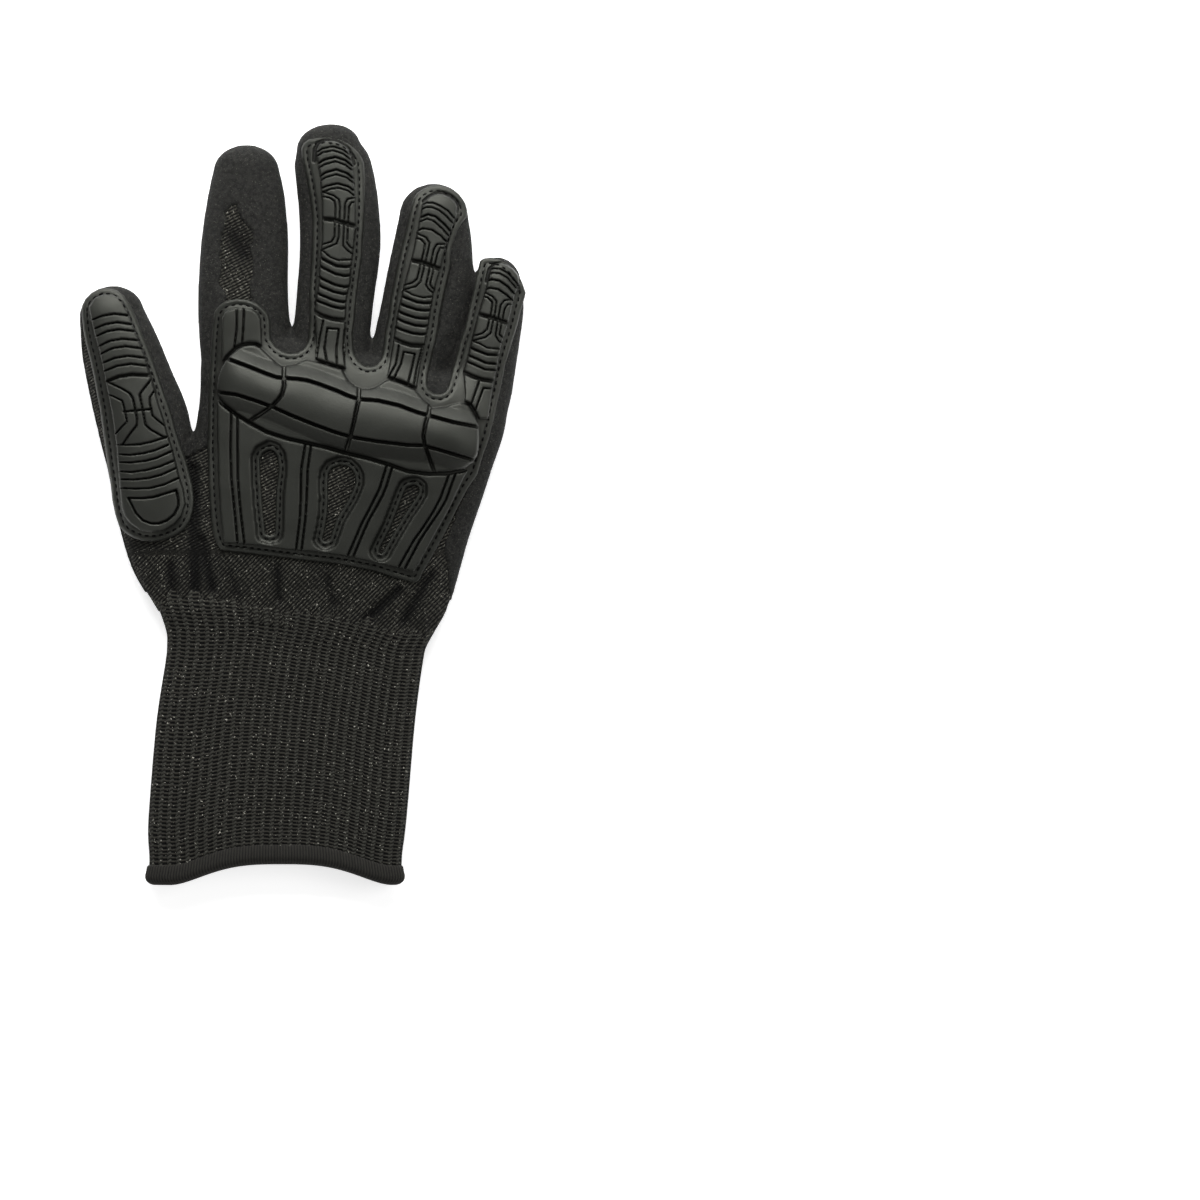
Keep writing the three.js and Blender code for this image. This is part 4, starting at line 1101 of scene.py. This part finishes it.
class Relief:
    """Height and shade of a guard over the cloth, for each vertex of its sheet, in metres."""

    def __init__(self, bm, edge, holes, sizes):
        bm.verts.ensure_lookup_table()
        self.sizes = sizes
        self.points = np.array([vert.co[:2] for vert in bm.verts])
        self.rim = np.array([vert.is_boundary for vert in bm.verts])
        self.edge_far, feet = nearest_of(self.points, [edge] + holes)
        self.points[self.rim] = feet[self.rim]
        self.edge_far[self.rim] = 0
        self.hole_far = nearest_of(self.points, holes)[0]
        count = len(self.points)
        self.bed_far = np.zeros(count)
        self.foot_far = np.full(count, np.inf)
        self.radius = np.full(count, sizes.round)
        self.moat = np.zeros(count, bool)
        self.on_pad = np.zeros(count, bool)

    def snap(self, line, half=0.0):
        """Moves the vertices close to a line, or to both sides of a groove, onto it."""
        near = boxed(self.points, line, NEAR * MM)
        near = near[~self.rim[near]]
        found, foot = nearest(self.points[near], line)
        close = (np.abs(found - half) < SNAP * CELL) & (found > ON_LINE)
        way = (self.points[near][close] - foot[close]) / found[close][:, None]
        self.points[near[close]] = foot[close] + way * max(half, ON_LINE)

    def lay_beds(self, beds):
        """Measures how far each vertex lies inside or beside the beds, which keep a rim round each window."""
        for bed in beds:
            near = boxed(self.points, bed, NEAR * MM)
            within = inside(self.points[near], bed[:-1])
            found = nearest(self.points[near], bed)[0]
            self.bed_far[near] = np.maximum(self.bed_far[near], np.where(within, found, 0))
            self.foot_far[near] = np.minimum(self.foot_far[near], np.where(within, np.inf, found))
        to_rim = self.hole_far - WINDOW_RIM * MM
        self.bed_far = np.clip(np.minimum(self.bed_far, to_rim), 0, None)
        self.foot_far = np.minimum(self.foot_far, np.abs(to_rim))
        self.top = self.sizes.flange + np.where(self.bed_far > SAME, self.sizes.bed, 0)

    def lay_pad(self, pad):
        """Puts the knuckle pad over the beds, with a moat round it."""
        within = inside(self.points, pad[:-1])
        found = nearest(self.points, pad)[0]
        found = np.where(found < 2 * ON_LINE, 0, found)
        self.top[within] = self.sizes.flange + pad_rise(self.points[within], self.sizes.pad)
        self.bed_far[within] = found[within]
        self.radius[within] = PAD_ROUND * self.sizes.round
        self.on_pad = within
        self.moat = ~within & (found < PAD_MOAT * MM)
        beside = ~within & (found < PAD_BESIDE * MM)
        self.bed_far[beside] = np.minimum(self.bed_far[beside], np.clip(found[beside] - PAD_MOAT * MM, 0, None))

    def raise_all(self):
        """Works out height and shade before any groove is cut, and the floor that each groove is cut down to."""
        flange, bed = self.sizes.flange, self.sizes.bed
        self.raised = self.bed_far > SAME
        self.top = np.where(self.raised, self.top, flange)
        deep = self.top - DEEP_SHARE * (self.top - flange)
        deep = np.where(self.top > flange + DEEP_FROM * bed, deep, flange + GROOVE_FLOOR * MM)
        self.floor = np.where(self.raised, deep, FLANGE_LEFT * flange)
        self.height = self.top - np.where(self.raised, rounding(self.bed_far, self.radius), 0)
        # Painted shade at the foot of the beds, and full painted shade in the moat round the pad
        foot = np.clip(FOOT_SHADE - self.foot_far / (FOOT_REACH * MM), 0, 1)
        self.shade = np.where(self.raised, 0, foot)
        self.shade[self.moat] = 1

    def cut(self, line, half, where):
        """Cuts a groove into the beds, the pad or everything, and paints shade into it and beside it."""
        near = boxed(self.points, line, NEAR_GROOVE * MM)
        if where != "all":
            near = near[self.raised[near] & (self.on_pad[near] == (where == "pad"))]
        off = nearest(self.points[near], line)[0] - half
        edge = self.top[near] - rounding(np.maximum(off, 0), min(GROOVE_ROUND * MM, half))
        level = np.where(off < -SAME, self.floor[near], edge)
        # Painted shade: the groove's floor fully dark, fading out beside it
        dark = np.where(off < -SAME, 1, np.clip(GROOVE_SHADE - off / (GROOVE_REACH * MM), 0, 1))
        self.height[near] = np.minimum(self.height[near], level)
        self.shade[near] = np.maximum(self.shade[near], dark)

    def paint_bed_shade(self):
        """Paints shade on the beds at the upper ends of the windows."""
        for (x, y), reach in HALOS:
            out = np.hypot(*(self.points - sheet(x, y)).T) / (reach * MM)
            halo = np.where(self.bed_far > 0, HALO_SHADE * np.clip(1 - out, 0, 1), 0)
            self.shade = np.where(self.on_pad, self.shade, np.maximum(self.shade, halo))

    def sink_seams(self):
        """Rounds the edge of the flange and sinks the seams."""
        seam_far = np.minimum(np.abs(self.edge_far - SEAM_IN * MM), np.abs(self.hole_far - WINDOW_SEAM_IN * MM))
        channel = np.clip(1 - seam_far / (SEAM_HALF * MM), 0, 1)
        self.height -= np.where(self.raised, 0, SEAM_DEEP * MM * channel + rounding(self.edge_far, FLANGE_ROUND * MM))


def moulded(name, sizes, outline, beds, cuts, windows=(), pads=()):
    """Sheet of rubber with raised beds and cut grooves, laid over the cloth; a cut is where, width and line."""
    edge = drawn(outline)
    holes = [closed(drawn(window)) for window in windows]
    beds = [closed(drawn(bed)) for bed in beds]
    pads = [closed(drawn(pad)) for pad in pads]
    cuts = [(drawn(line), wide * MM / 2, where) for where, wide, line in cuts]
    details = [(line, half + FINE_BY_GROOVE * MM) for line, half, _ in cuts]
    details += [(bed, FINE_BY_BED * MM) for bed in beds] + [(pad, FINE_BY_PAD * MM) for pad in pads]
    bm = sheet_of_cells(edge, [hole[:-1] for hole in holes], details)
    relief = Relief(bm, closed(edge), holes, sizes)
    for line, half in [(bed, 0.0) for bed in beds] + [cut[:2] for cut in cuts] + [(pad, 0.0) for pad in pads]:
        relief.snap(line, half)
    relief.lay_beds(beds)
    for pad in pads:
        relief.lay_pad(pad)
    relief.raise_all()
    for line, half, where in cuts:
        relief.cut(line, half, where)
    relief.paint_bed_shade()
    relief.sink_seams()
    seat = seat_field(edge)
    # The "groove" attribute carries painted shade: dark groove floors, shade at the foot of beds and pad, above the
    # window tops and on the skirt
    shade = bm.verts.layers.float.new("groove")
    for vert, (x, y), z, dark in zip(bm.verts, relief.points, seat(relief.points) + relief.height, relief.shade):
        vert.co = (x, y, z)
        vert[shade] = dark
    made = bmesh.ops.extrude_edge_only(bm, edges=[e for e in bm.edges if e.is_boundary])
    skirt = [item for item in made["geom"] if isinstance(item, bmesh.types.BMVert)]
    for vert, z in zip(skirt, seat(np.array([vert.co[:2] for vert in skirt]))):
        vert.co.z = z - SKIRT_DEEP * MM
        # Painted shade on the skirt that tucks into the cloth
        vert[shade] = SKIRT_SHADE
    bmesh.ops.recalc_face_normals(bm, faces=bm.faces)
    guard = piece(name, bm)
    guard.data.materials.append(rubber_material(sizes))
    return guard


def seam(outline, inward, pitch):
    """Places and directions of the stitches of a seam that follows an outline."""
    ring = closed(drawn(outline))
    points = places_on(ring, np.arange(0, lengths(ring)[-1], SEAM_STEP * MM))
    ahead = np.roll(points, -SEAM_LOOK, axis=0) - np.roll(points, SEAM_LOOK, axis=0)
    ahead /= np.linalg.norm(ahead, axis=1)[:, None]
    turned = np.sum(ring[:-1, 0] * np.roll(ring[:-1, 1], -1) - np.roll(ring[:-1, 0], -1) * ring[:-1, 1]) > 0
    normal = np.stack([-ahead[:, 1], ahead[:, 0]], axis=1) * (1 if turned else -1)
    moved = points + normal * inward
    moved = moved[nearest(moved, ring)[0] > abs(inward) * SEAM_CORNER]
    for _ in range(SEAM_SMOOTHINGS):
        moved = (np.roll(moved, 1, axis=0) + moved + np.roll(moved, -1, axis=0)) / 3
    spots = np.arange(0, lengths(moved)[-1], pitch)
    places = places_on(moved, spots)
    ahead = places_on(moved, spots + pitch / 4) - places
    return places, np.arctan2(ahead[:, 1], ahead[:, 0])


def stitch(name, seams, carrier, pitch):
    """Thread of several seams: one small bead for each stitch, sunk in the rubber."""
    tree = BVHTree.FromPolygons([v.co for v in carrier.data.vertices], [p.vertices for p in carrier.data.polygons])
    size = Matrix.Diagonal((pitch * STITCH_LONG, STITCH_WIDE * MM, STITCH_HIGH * MM, 1))
    bm = bmesh.new()
    for places, turns in seams:
        for (x, y), turn in zip(places, turns):
            spot, normal = below(tree, x, y)
            if spot is None:
                continue
            normal = normal if normal.z > 0 else -normal
            lay = Vector((math.cos(turn), math.sin(turn), 0))
            lay = (lay - normal * lay.dot(normal)).normalized()
            turned = Matrix((lay, normal.cross(lay), normal)).transposed().to_4x4()
            matrix = Matrix.Translation(spot + normal * STITCH_LIFT * MM) @ turned @ size
            bmesh.ops.create_icosphere(bm, subdivisions=1, radius=1, matrix=matrix)
    thread = piece(name, bm)
    thread.data.materials.append(thread_material())


class GLOVE_OT_guards(bpy.types.Operator):
    """Build the moulded guards of the back and of the thumb with their stitching"""
    bl_idname = "glove.guards"
    bl_label = "Guards"

    def execute(self, context):
        sizes = context.scene.glove_guard
        if "tree" not in SKIN:
            raise RuntimeError("the cloth is built first")
        beds = [HAND_BED, INDEX_BED, MIDDLE_BED, RING_BED, LITTLE_BED]
        grooves = BAR_GROOVES + INDEX_GROOVES + MIDDLE_GROOVES + RING_GROOVES + LITTLE_GROOVES
        cuts = [("bed", *groove) for groove in grooves]
        cuts += [("pad", PAD_GROOVE, line) for line in [PAD_UPPER, PAD_LOWER] + PAD_CROSS]
        cuts += [("all", *arch) for arch in ARCHES]
        back = moulded("back_guard_rubber", sizes, BACK_OUTLINE, beds, cuts, WINDOWS, [PAD])
        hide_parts("back_guard")
        cuts = [("bed", *groove) for groove in THUMB_GROOVES]
        thumb = moulded("thumb_guard_rubber", sizes, THUMB_OUTLINE, [THUMB_BED], cuts)
        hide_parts("thumb_guard")
        seams = [seam(BACK_OUTLINE, SEAM_IN * MM, sizes.stitch)]
        seams += [seam(window, -WINDOW_SEAM_IN * MM, sizes.stitch) for window in WINDOWS]
        stitch("back_guard_thread", seams, back, sizes.stitch)
        stitch("thumb_guard_thread", [seam(THUMB_OUTLINE, SEAM_IN * MM, sizes.stitch)], thumb, sizes.stitch)
        return {"FINISHED"}


# ---- materials ----

def start_material(name):
    """Material without nodes, and its node tree."""
    made = bpy.data.materials.new(name)
    made.use_nodes = True
    made.node_tree.nodes.clear()
    return made, made.node_tree


def per_mm(size):
    """Scale of a texture in object space for features of a size in mm."""
    return 1 / (size * MM)


def knit_material(sizes):
    """Liner knitted from black nylon with glass fibre: matt, diagonal rows of loops, pale ends of fibre as specks."""
    made, tree = start_material("Knitted nylon and glass fibre")
    place = add(tree, "TexCoord", out="Object")
    steep, shallow = [add(tree, "Mapping", {"Vector": place, "Rotation": (0, 0, math.radians(90 - rise))})
                      for rise in KNIT_RISE]
    along = add(tree, "SeparateXYZ", {0: place}, "Y")
    high = add(tree, "MapRange", {"Value": along, "From Min": KNIT_TURN[0], "From Max": KNIT_TURN[1]})
    slant = add(tree, "Mix", {0: high, 4: steep, 5: shallow}, 1, data_type="VECTOR")
    row, loop = [add(tree, "TexWave", {"Vector": slant, "Scale": per_mm(size) * WAVE, "Distortion": uneven,
                                       "Detail": 2.0, "Detail Scale": 2.0}, "Fac", bands_direction=way)
                 for size, uneven, way in ((KNIT_ROW, 1.6, "X"), (KNIT_LOOP, 2.0, "Y"))]
    arc = add(tree, "Math", {0: loop, 1: 0.6, 2: 0.4}, operation="MULTIPLY_ADD")
    loops = add(tree, "Math", {0: row, 1: arc}, operation="MULTIPLY")
    fibre = add(tree, "TexNoise", {"Vector": place, "Scale": per_mm(FIBRE_END), "Detail": 3.0}, "Fac")
    patch = add(tree, "TexNoise", {"Vector": place, "Scale": per_mm(KNIT_PATCH), "Detail": 4.0}, "Fac")
    # Painted shade in the folds of the back: the colour is darkened towards near black
    painted_crease_shade = add(tree, "Attribute", out="Fac", attribute_name="painted_crease_shade")
    lit = add(tree, "MapRange", {"Value": loops, "From Min": 0.1, "From Max": 0.8})
    dull = add(tree, "MapRange", {"Value": patch, "From Min": 0.35, "From Max": 0.7, "To Max": 0.6})
    pale = add(tree, "MapRange", {"Value": fibre, "From Min": 0.64, "From Max": 0.72, "To Max": 0.8})
    dark = add(tree, "MapRange", {"Value": painted_crease_shade, "To Max": 0.85})
    base = linear("#020202")
    for share, tint in ((lit, sizes.knit), (dull, linear("#0d0d0b")), (pale, linear("#a9a79c")),
                        (dark, linear("#020202"))):
        base = add(tree, "Mix", {0: share, 6: base, 7: tint}, 2, data_type="RGBA")
    relief = add(tree, "Math", {0: fibre, 1: 0.5, 2: loops}, operation="MULTIPLY_ADD")
    bump = add(tree, "Bump", {"Height": relief, "Strength": 0.9, "Distance": 0.5 * MM})
    shader = add(tree, "BsdfPrincipled", {"Base Color": base, "Roughness": 0.95, "Specular IOR Level": 0.2,
                                          "Normal": bump})
    add(tree, "OutputMaterial", {"Surface": shader})
    return made


def coating_material(sizes):
    """Nitrile foam dipped over the knit and dusted with salt: a matt, sandy, nearly black skin."""
    made, tree = start_material("Sandy nitrile dip")
    place = add(tree, "TexCoord", out="Object")
    foam = add(tree, "TexNoise", {"Vector": place, "Scale": per_mm(FOAM), "Detail": 5.0, "Roughness": 0.72}, "Fac")
    sand = add(tree, "TexNoise", {"Vector": place, "Scale": per_mm(SAND), "Detail": 2.0}, "Fac")
    patch = add(tree, "TexNoise", {"Vector": place, "Scale": per_mm(FOAM_PATCH), "Detail": 4.0}, "Fac")
    lit = add(tree, "MapRange", {"Value": foam, "From Min": 0.40, "From Max": 0.62})
    dull = add(tree, "MapRange", {"Value": patch, "From Min": 0.35, "From Max": 0.7, "To Max": 0.5})
    pale = add(tree, "MapRange", {"Value": sand, "From Min": 0.62, "From Max": 0.74, "To Max": 0.4})
    base = linear("#050504")
    for share, tint in ((lit, sizes.coating), (dull, linear("#12120f")), (pale, linear("#6a6a60"))):
        base = add(tree, "Mix", {0: share, 6: base, 7: tint}, 2, data_type="RGBA")
    relief = add(tree, "Math", {0: sand, 1: 0.4, 2: foam}, operation="MULTIPLY_ADD")
    bump = add(tree, "Bump", {"Height": relief, "Strength": 0.9, "Distance": 0.6 * MM})
    shader = add(tree, "BsdfPrincipled", {"Base Color": base, "Roughness": 0.85, "Specular IOR Level": 0.3,
                                          "Normal": bump})
    add(tree, "OutputMaterial", {"Surface": shader})
    return made


def rib_material(sizes):
    """Elastic rib knit of nylon: matt ribs of chained loops and, between them, ladders of dark gaps and thin rungs."""
    made, tree = start_material("Elastic rib knit")
    flat = add(tree, "UVMap")
    place = add(tree, "TexCoord", out="Object")
    across, along = [add(tree, "SeparateXYZ", {0: flat}, axis) for axis in ("X", "Y")]
    turn = add(tree, "Math", {0: across, 1: 2 * math.pi * sizes.ribs}, operation="MULTIPLY")
    rib = add(tree, "Math", {0: turn}, operation="COSINE")
    side = add(tree, "Math", {0: turn}, operation="SINE")
    valley = add(tree, "MapRange", {"Value": rib, "From Min": 0.5, "From Max": 0.0})
    drift = add(tree, "TexNoise", {"Vector": place, "Scale": per_mm(COURSE_DRIFT), "Detail": 2.0}, "Fac")
    drift = add(tree, "Math", {0: drift, 1: 5.0}, operation="MULTIPLY")
    course = add(tree, "Math", {0: along, 1: 2 * math.pi * COURSES, 2: drift}, operation="MULTIPLY_ADD")
    leaning = add(tree, "Math", {0: side, 1: CHEVRON, 2: course}, operation="MULTIPLY_ADD")
    rung = add(tree, "Math", {0: course}, operation="SINE")
    rung = add(tree, "MapRange", {"Value": rung, "From Min": -0.25, "From Max": 0.65})
    chain = add(tree, "Math", {0: leaning}, operation="SINE")
    chain = add(tree, "MapRange", {"Value": chain, "From Min": -1.2, "From Max": 0.6})
    fibre = add(tree, "TexNoise", {"Vector": place, "Scale": per_mm(FIBRE_END), "Detail": 3.0}, "Fac")
    pale = add(tree, "MapRange", {"Value": fibre, "From Min": 0.67, "From Max": 0.71, "To Max": 0.9})
    ladder = add(tree, "Mix", {0: rung, 6: linear("#000000"), 7: linear("#34332e")}, 2, data_type="RGBA")
    base = linear("#141311")
    for share, tint in ((chain, sizes.rib), (valley, ladder), (pale, linear("#b5b3a8"))):
        base = add(tree, "Mix", {0: share, 6: base, 7: tint}, 2, data_type="RGBA")
    relief = add(tree, "Mix", {0: valley, 2: chain, 3: rung})
    bump = add(tree, "Bump", {"Height": relief, "Strength": 0.9, "Distance": 0.4 * MM})
    shader = add(tree, "BsdfPrincipled", {"Base Color": base, "Roughness": 0.95, "Specular IOR Level": 0.2,
                                          "Normal": bump})
    add(tree, "OutputMaterial", {"Surface": shader})
    return made


def hem_material(sizes):
    """Overlock thread wound round the end of the cuff: close upright stitches of dull polyester."""
    made, tree = start_material("Overlocked polyester thread")
    across = add(tree, "SeparateXYZ", {0: add(tree, "UVMap")}, "X")
    turn = add(tree, "Math", {0: across, 1: 2 * math.pi * HEM_STITCHES}, operation="MULTIPLY")
    thread = add(tree, "Math", {0: turn}, operation="COSINE")
    lit = add(tree, "MapRange", {"Value": thread, "From Min": -1, "From Max": 1})
    base = add(tree, "Mix", {0: lit, 6: linear("#141312"), 7: sizes.hem}, 2, data_type="RGBA")
    place = add(tree, "TexCoord", out="Object")
    fluff = add(tree, "TexNoise", {"Vector": place, "Scale": per_mm(HEM_FLUFF), "Detail": 3.0}, "Fac")
    bump = add(tree, "Bump", {"Height": fluff, "Strength": 0.5, "Distance": 0.2 * MM})
    shader = add(tree, "BsdfPrincipled", {"Base Color": base, "Roughness": 0.9, "Specular IOR Level": 0.25,
                                          "Normal": bump})
    add(tree, "OutputMaterial", {"Surface": shader})
    return made


def rubber_material(sizes):
    """Thermoplastic rubber, injection moulded: charcoal, satin, with a fine eroded grain, and painted shade near black
    in the grooves, beside the beds and pad, on the beds above the windows and on the skirt.
    """
    made, tree = start_material("Moulded thermoplastic rubber")
    place = add(tree, "TexCoord", out="Object")
    # Painted shade from the "groove" attribute darkens the rubber towards near black
    groove = add(tree, "Attribute", out="Fac", attribute_name="groove")
    grain = add(tree, "TexNoise", {"Vector": place, "Scale": per_mm(RUBBER_GRAIN), "Detail": 2.0}, "Fac")
    patch = add(tree, "TexNoise", {"Vector": place, "Scale": per_mm(RUBBER_PATCH), "Detail": 3.0}, "Fac")
    base = linear("#111210")
    for share, tint in ((patch, sizes.rubber), (groove, linear("#010101"))):
        base = add(tree, "Mix", {0: share, 6: base, 7: tint}, 2, data_type="RGBA")
    rough = add(tree, "MapRange", {"Value": patch, "To Min": 0.44, "To Max": 0.58})
    bump = add(tree, "Bump", {"Height": grain, "Strength": 0.25, "Distance": 0.1 * MM})
    shader = add(tree, "BsdfPrincipled", {"Base Color": base, "Roughness": rough, "IOR": 1.5,
                                          "Specular Tint": linear("#fdfff2"), "Normal": bump})
    add(tree, "OutputMaterial", {"Surface": shader})
    return made


def thread_material():
    """Bonded polyester sewing thread: deep black and matt, a little uneven along its plies."""
    made, tree = start_material("Bonded polyester thread")
    place = add(tree, "TexCoord", out="Object")
    ply = add(tree, "TexNoise", {"Vector": place, "Scale": per_mm(PLY), "Detail": 1.0}, "Fac")
    base = add(tree, "Mix", {0: ply, 6: linear("#010101"), 7: linear("#070706")}, 2, data_type="RGBA")
    shader = add(tree, "BsdfPrincipled", {"Base Color": base, "Roughness": 0.85, "Specular IOR Level": 0.15})
    add(tree, "OutputMaterial", {"Surface": shader})
    return made


def floor_material():
    """Matt white studio table, lit a little from below so that shadows stay pale."""
    made, tree = start_material("White light table")
    place = add(tree, "TexCoord", out="Object")
    patch = add(tree, "TexNoise", {"Vector": place, "Scale": per_mm(TABLE_PATCH), "Detail": 2.0}, "Fac")
    base = add(tree, "Mix", {0: patch, 6: linear("#f6f6f6"), 7: linear("#fbfbfb")}, 2, data_type="RGBA")
    shader = add(tree, "BsdfPrincipled", {"Base Color": base, "Roughness": 0.9, "Emission Color": linear("#ffffff"),
                                          "Emission Strength": 0.6})
    add(tree, "OutputMaterial", {"Surface": shader})
    return made


# ---- the stage ----

class GLOVE_OT_stage(bpy.types.Operator):
    """Build the floor, the lights and the camera"""
    bl_idname = "glove.stage"
    bl_label = "Stage"

    def execute(self, context):
        self.floor(context.scene)
        for lamp in LAMPS:
            self.light(context.scene, *lamp)
        air = bpy.data.worlds.new("studio_air")
        air.use_nodes = True
        colour_in, strength_in = air.node_tree.nodes["Background"].inputs[:2]
        colour_in.default_value = (1, 1, 1, 1)
        strength_in.default_value = AIR_LIGHT
        context.scene.world = air
        context.scene.view_settings.view_transform = "Standard"
        self.camera(context.scene)
        return {"FINISHED"}

    def floor(self, scene):
        """Pale flat floor."""
        bm = bmesh.new()
        bmesh.ops.create_grid(bm, x_segments=1, y_segments=1, size=FLOOR_HALF)
        mesh = bpy.data.meshes.new("studio_floor")
        bm.to_mesh(mesh)
        bm.free()
        floor = bpy.data.objects.new("studio_floor", mesh)
        scene.collection.objects.link(floor)
        floor.data.materials.append(floor_material())

    def light(self, scene, name, spot, size, watts):
        """Soft light that is aimed at the middle of the floor."""
        data = bpy.data.lights.new(name, "AREA")
        data.shape = "RECTANGLE"
        data.size, data.size_y = size
        data.energy = watts
        lamp = bpy.data.objects.new(name, data)
        lamp.location = spot
        lamp.rotation_euler = (Vector() - Vector(spot)).to_track_quat("-Z", "Y").to_euler()
        scene.collection.objects.link(lamp)

    def camera(self, scene):
        """Camera straight above the middle of the picture, wide enough for the whole of it."""
        data = bpy.data.cameras.new("camera")
        data.sensor_width = SENSOR
        data.lens = SENSOR * CAMERA_HIGH / (PICTURE * UNIT)
        camera = bpy.data.objects.new("camera", data)
        camera.location = (*sheet(PICTURE / 2, PICTURE / 2), CAMERA_HIGH)
        scene.collection.objects.link(camera)
        scene.camera = camera


# ---- the add-on ----

OPERATORS = (GLOVE_OT_cloth, GLOVE_OT_cuff, GLOVE_OT_guards, GLOVE_OT_stage)


class GLOVE_PT_panel(bpy.types.Panel):
    """Sidebar panel with the sizes, the colours and the steps"""
    bl_label = "Work glove"
    bl_idname = "GLOVE_PT_panel"
    bl_space_type = "VIEW_3D"
    bl_region_type = "UI"
    bl_category = "Glove"

    def draw(self, context):
        for group in (context.scene.glove_cloth, context.scene.glove_guard):
            for name in group.bl_rna.properties.keys():
                if name not in ("rna_type", "name"):
                    self.layout.prop(group, name)
        for kind in OPERATORS:
            self.layout.operator(kind.bl_idname)


CLASSES = (ClothSizes, GuardSizes) + OPERATORS + (GLOVE_PT_panel,)


def register():
    """Makes the sizes, the operators and the panel known."""
    for kind in CLASSES:
        bpy.utils.register_class(kind)
    bpy.types.Scene.glove_cloth = PointerProperty(type=ClothSizes)
    bpy.types.Scene.glove_guard = PointerProperty(type=GuardSizes)


def unregister():
    """Takes them away again."""
    del bpy.types.Scene.glove_guard
    del bpy.types.Scene.glove_cloth
    for kind in reversed(CLASSES):
        bpy.utils.unregister_class(kind)


def main():
    """Builds the whole glove and its stage."""
    register()
    bpy.ops.glove.cloth()
    bpy.ops.glove.cuff()
    bpy.ops.glove.guards()
    bpy.ops.glove.stage()


if __name__ == "__main__":
    main()
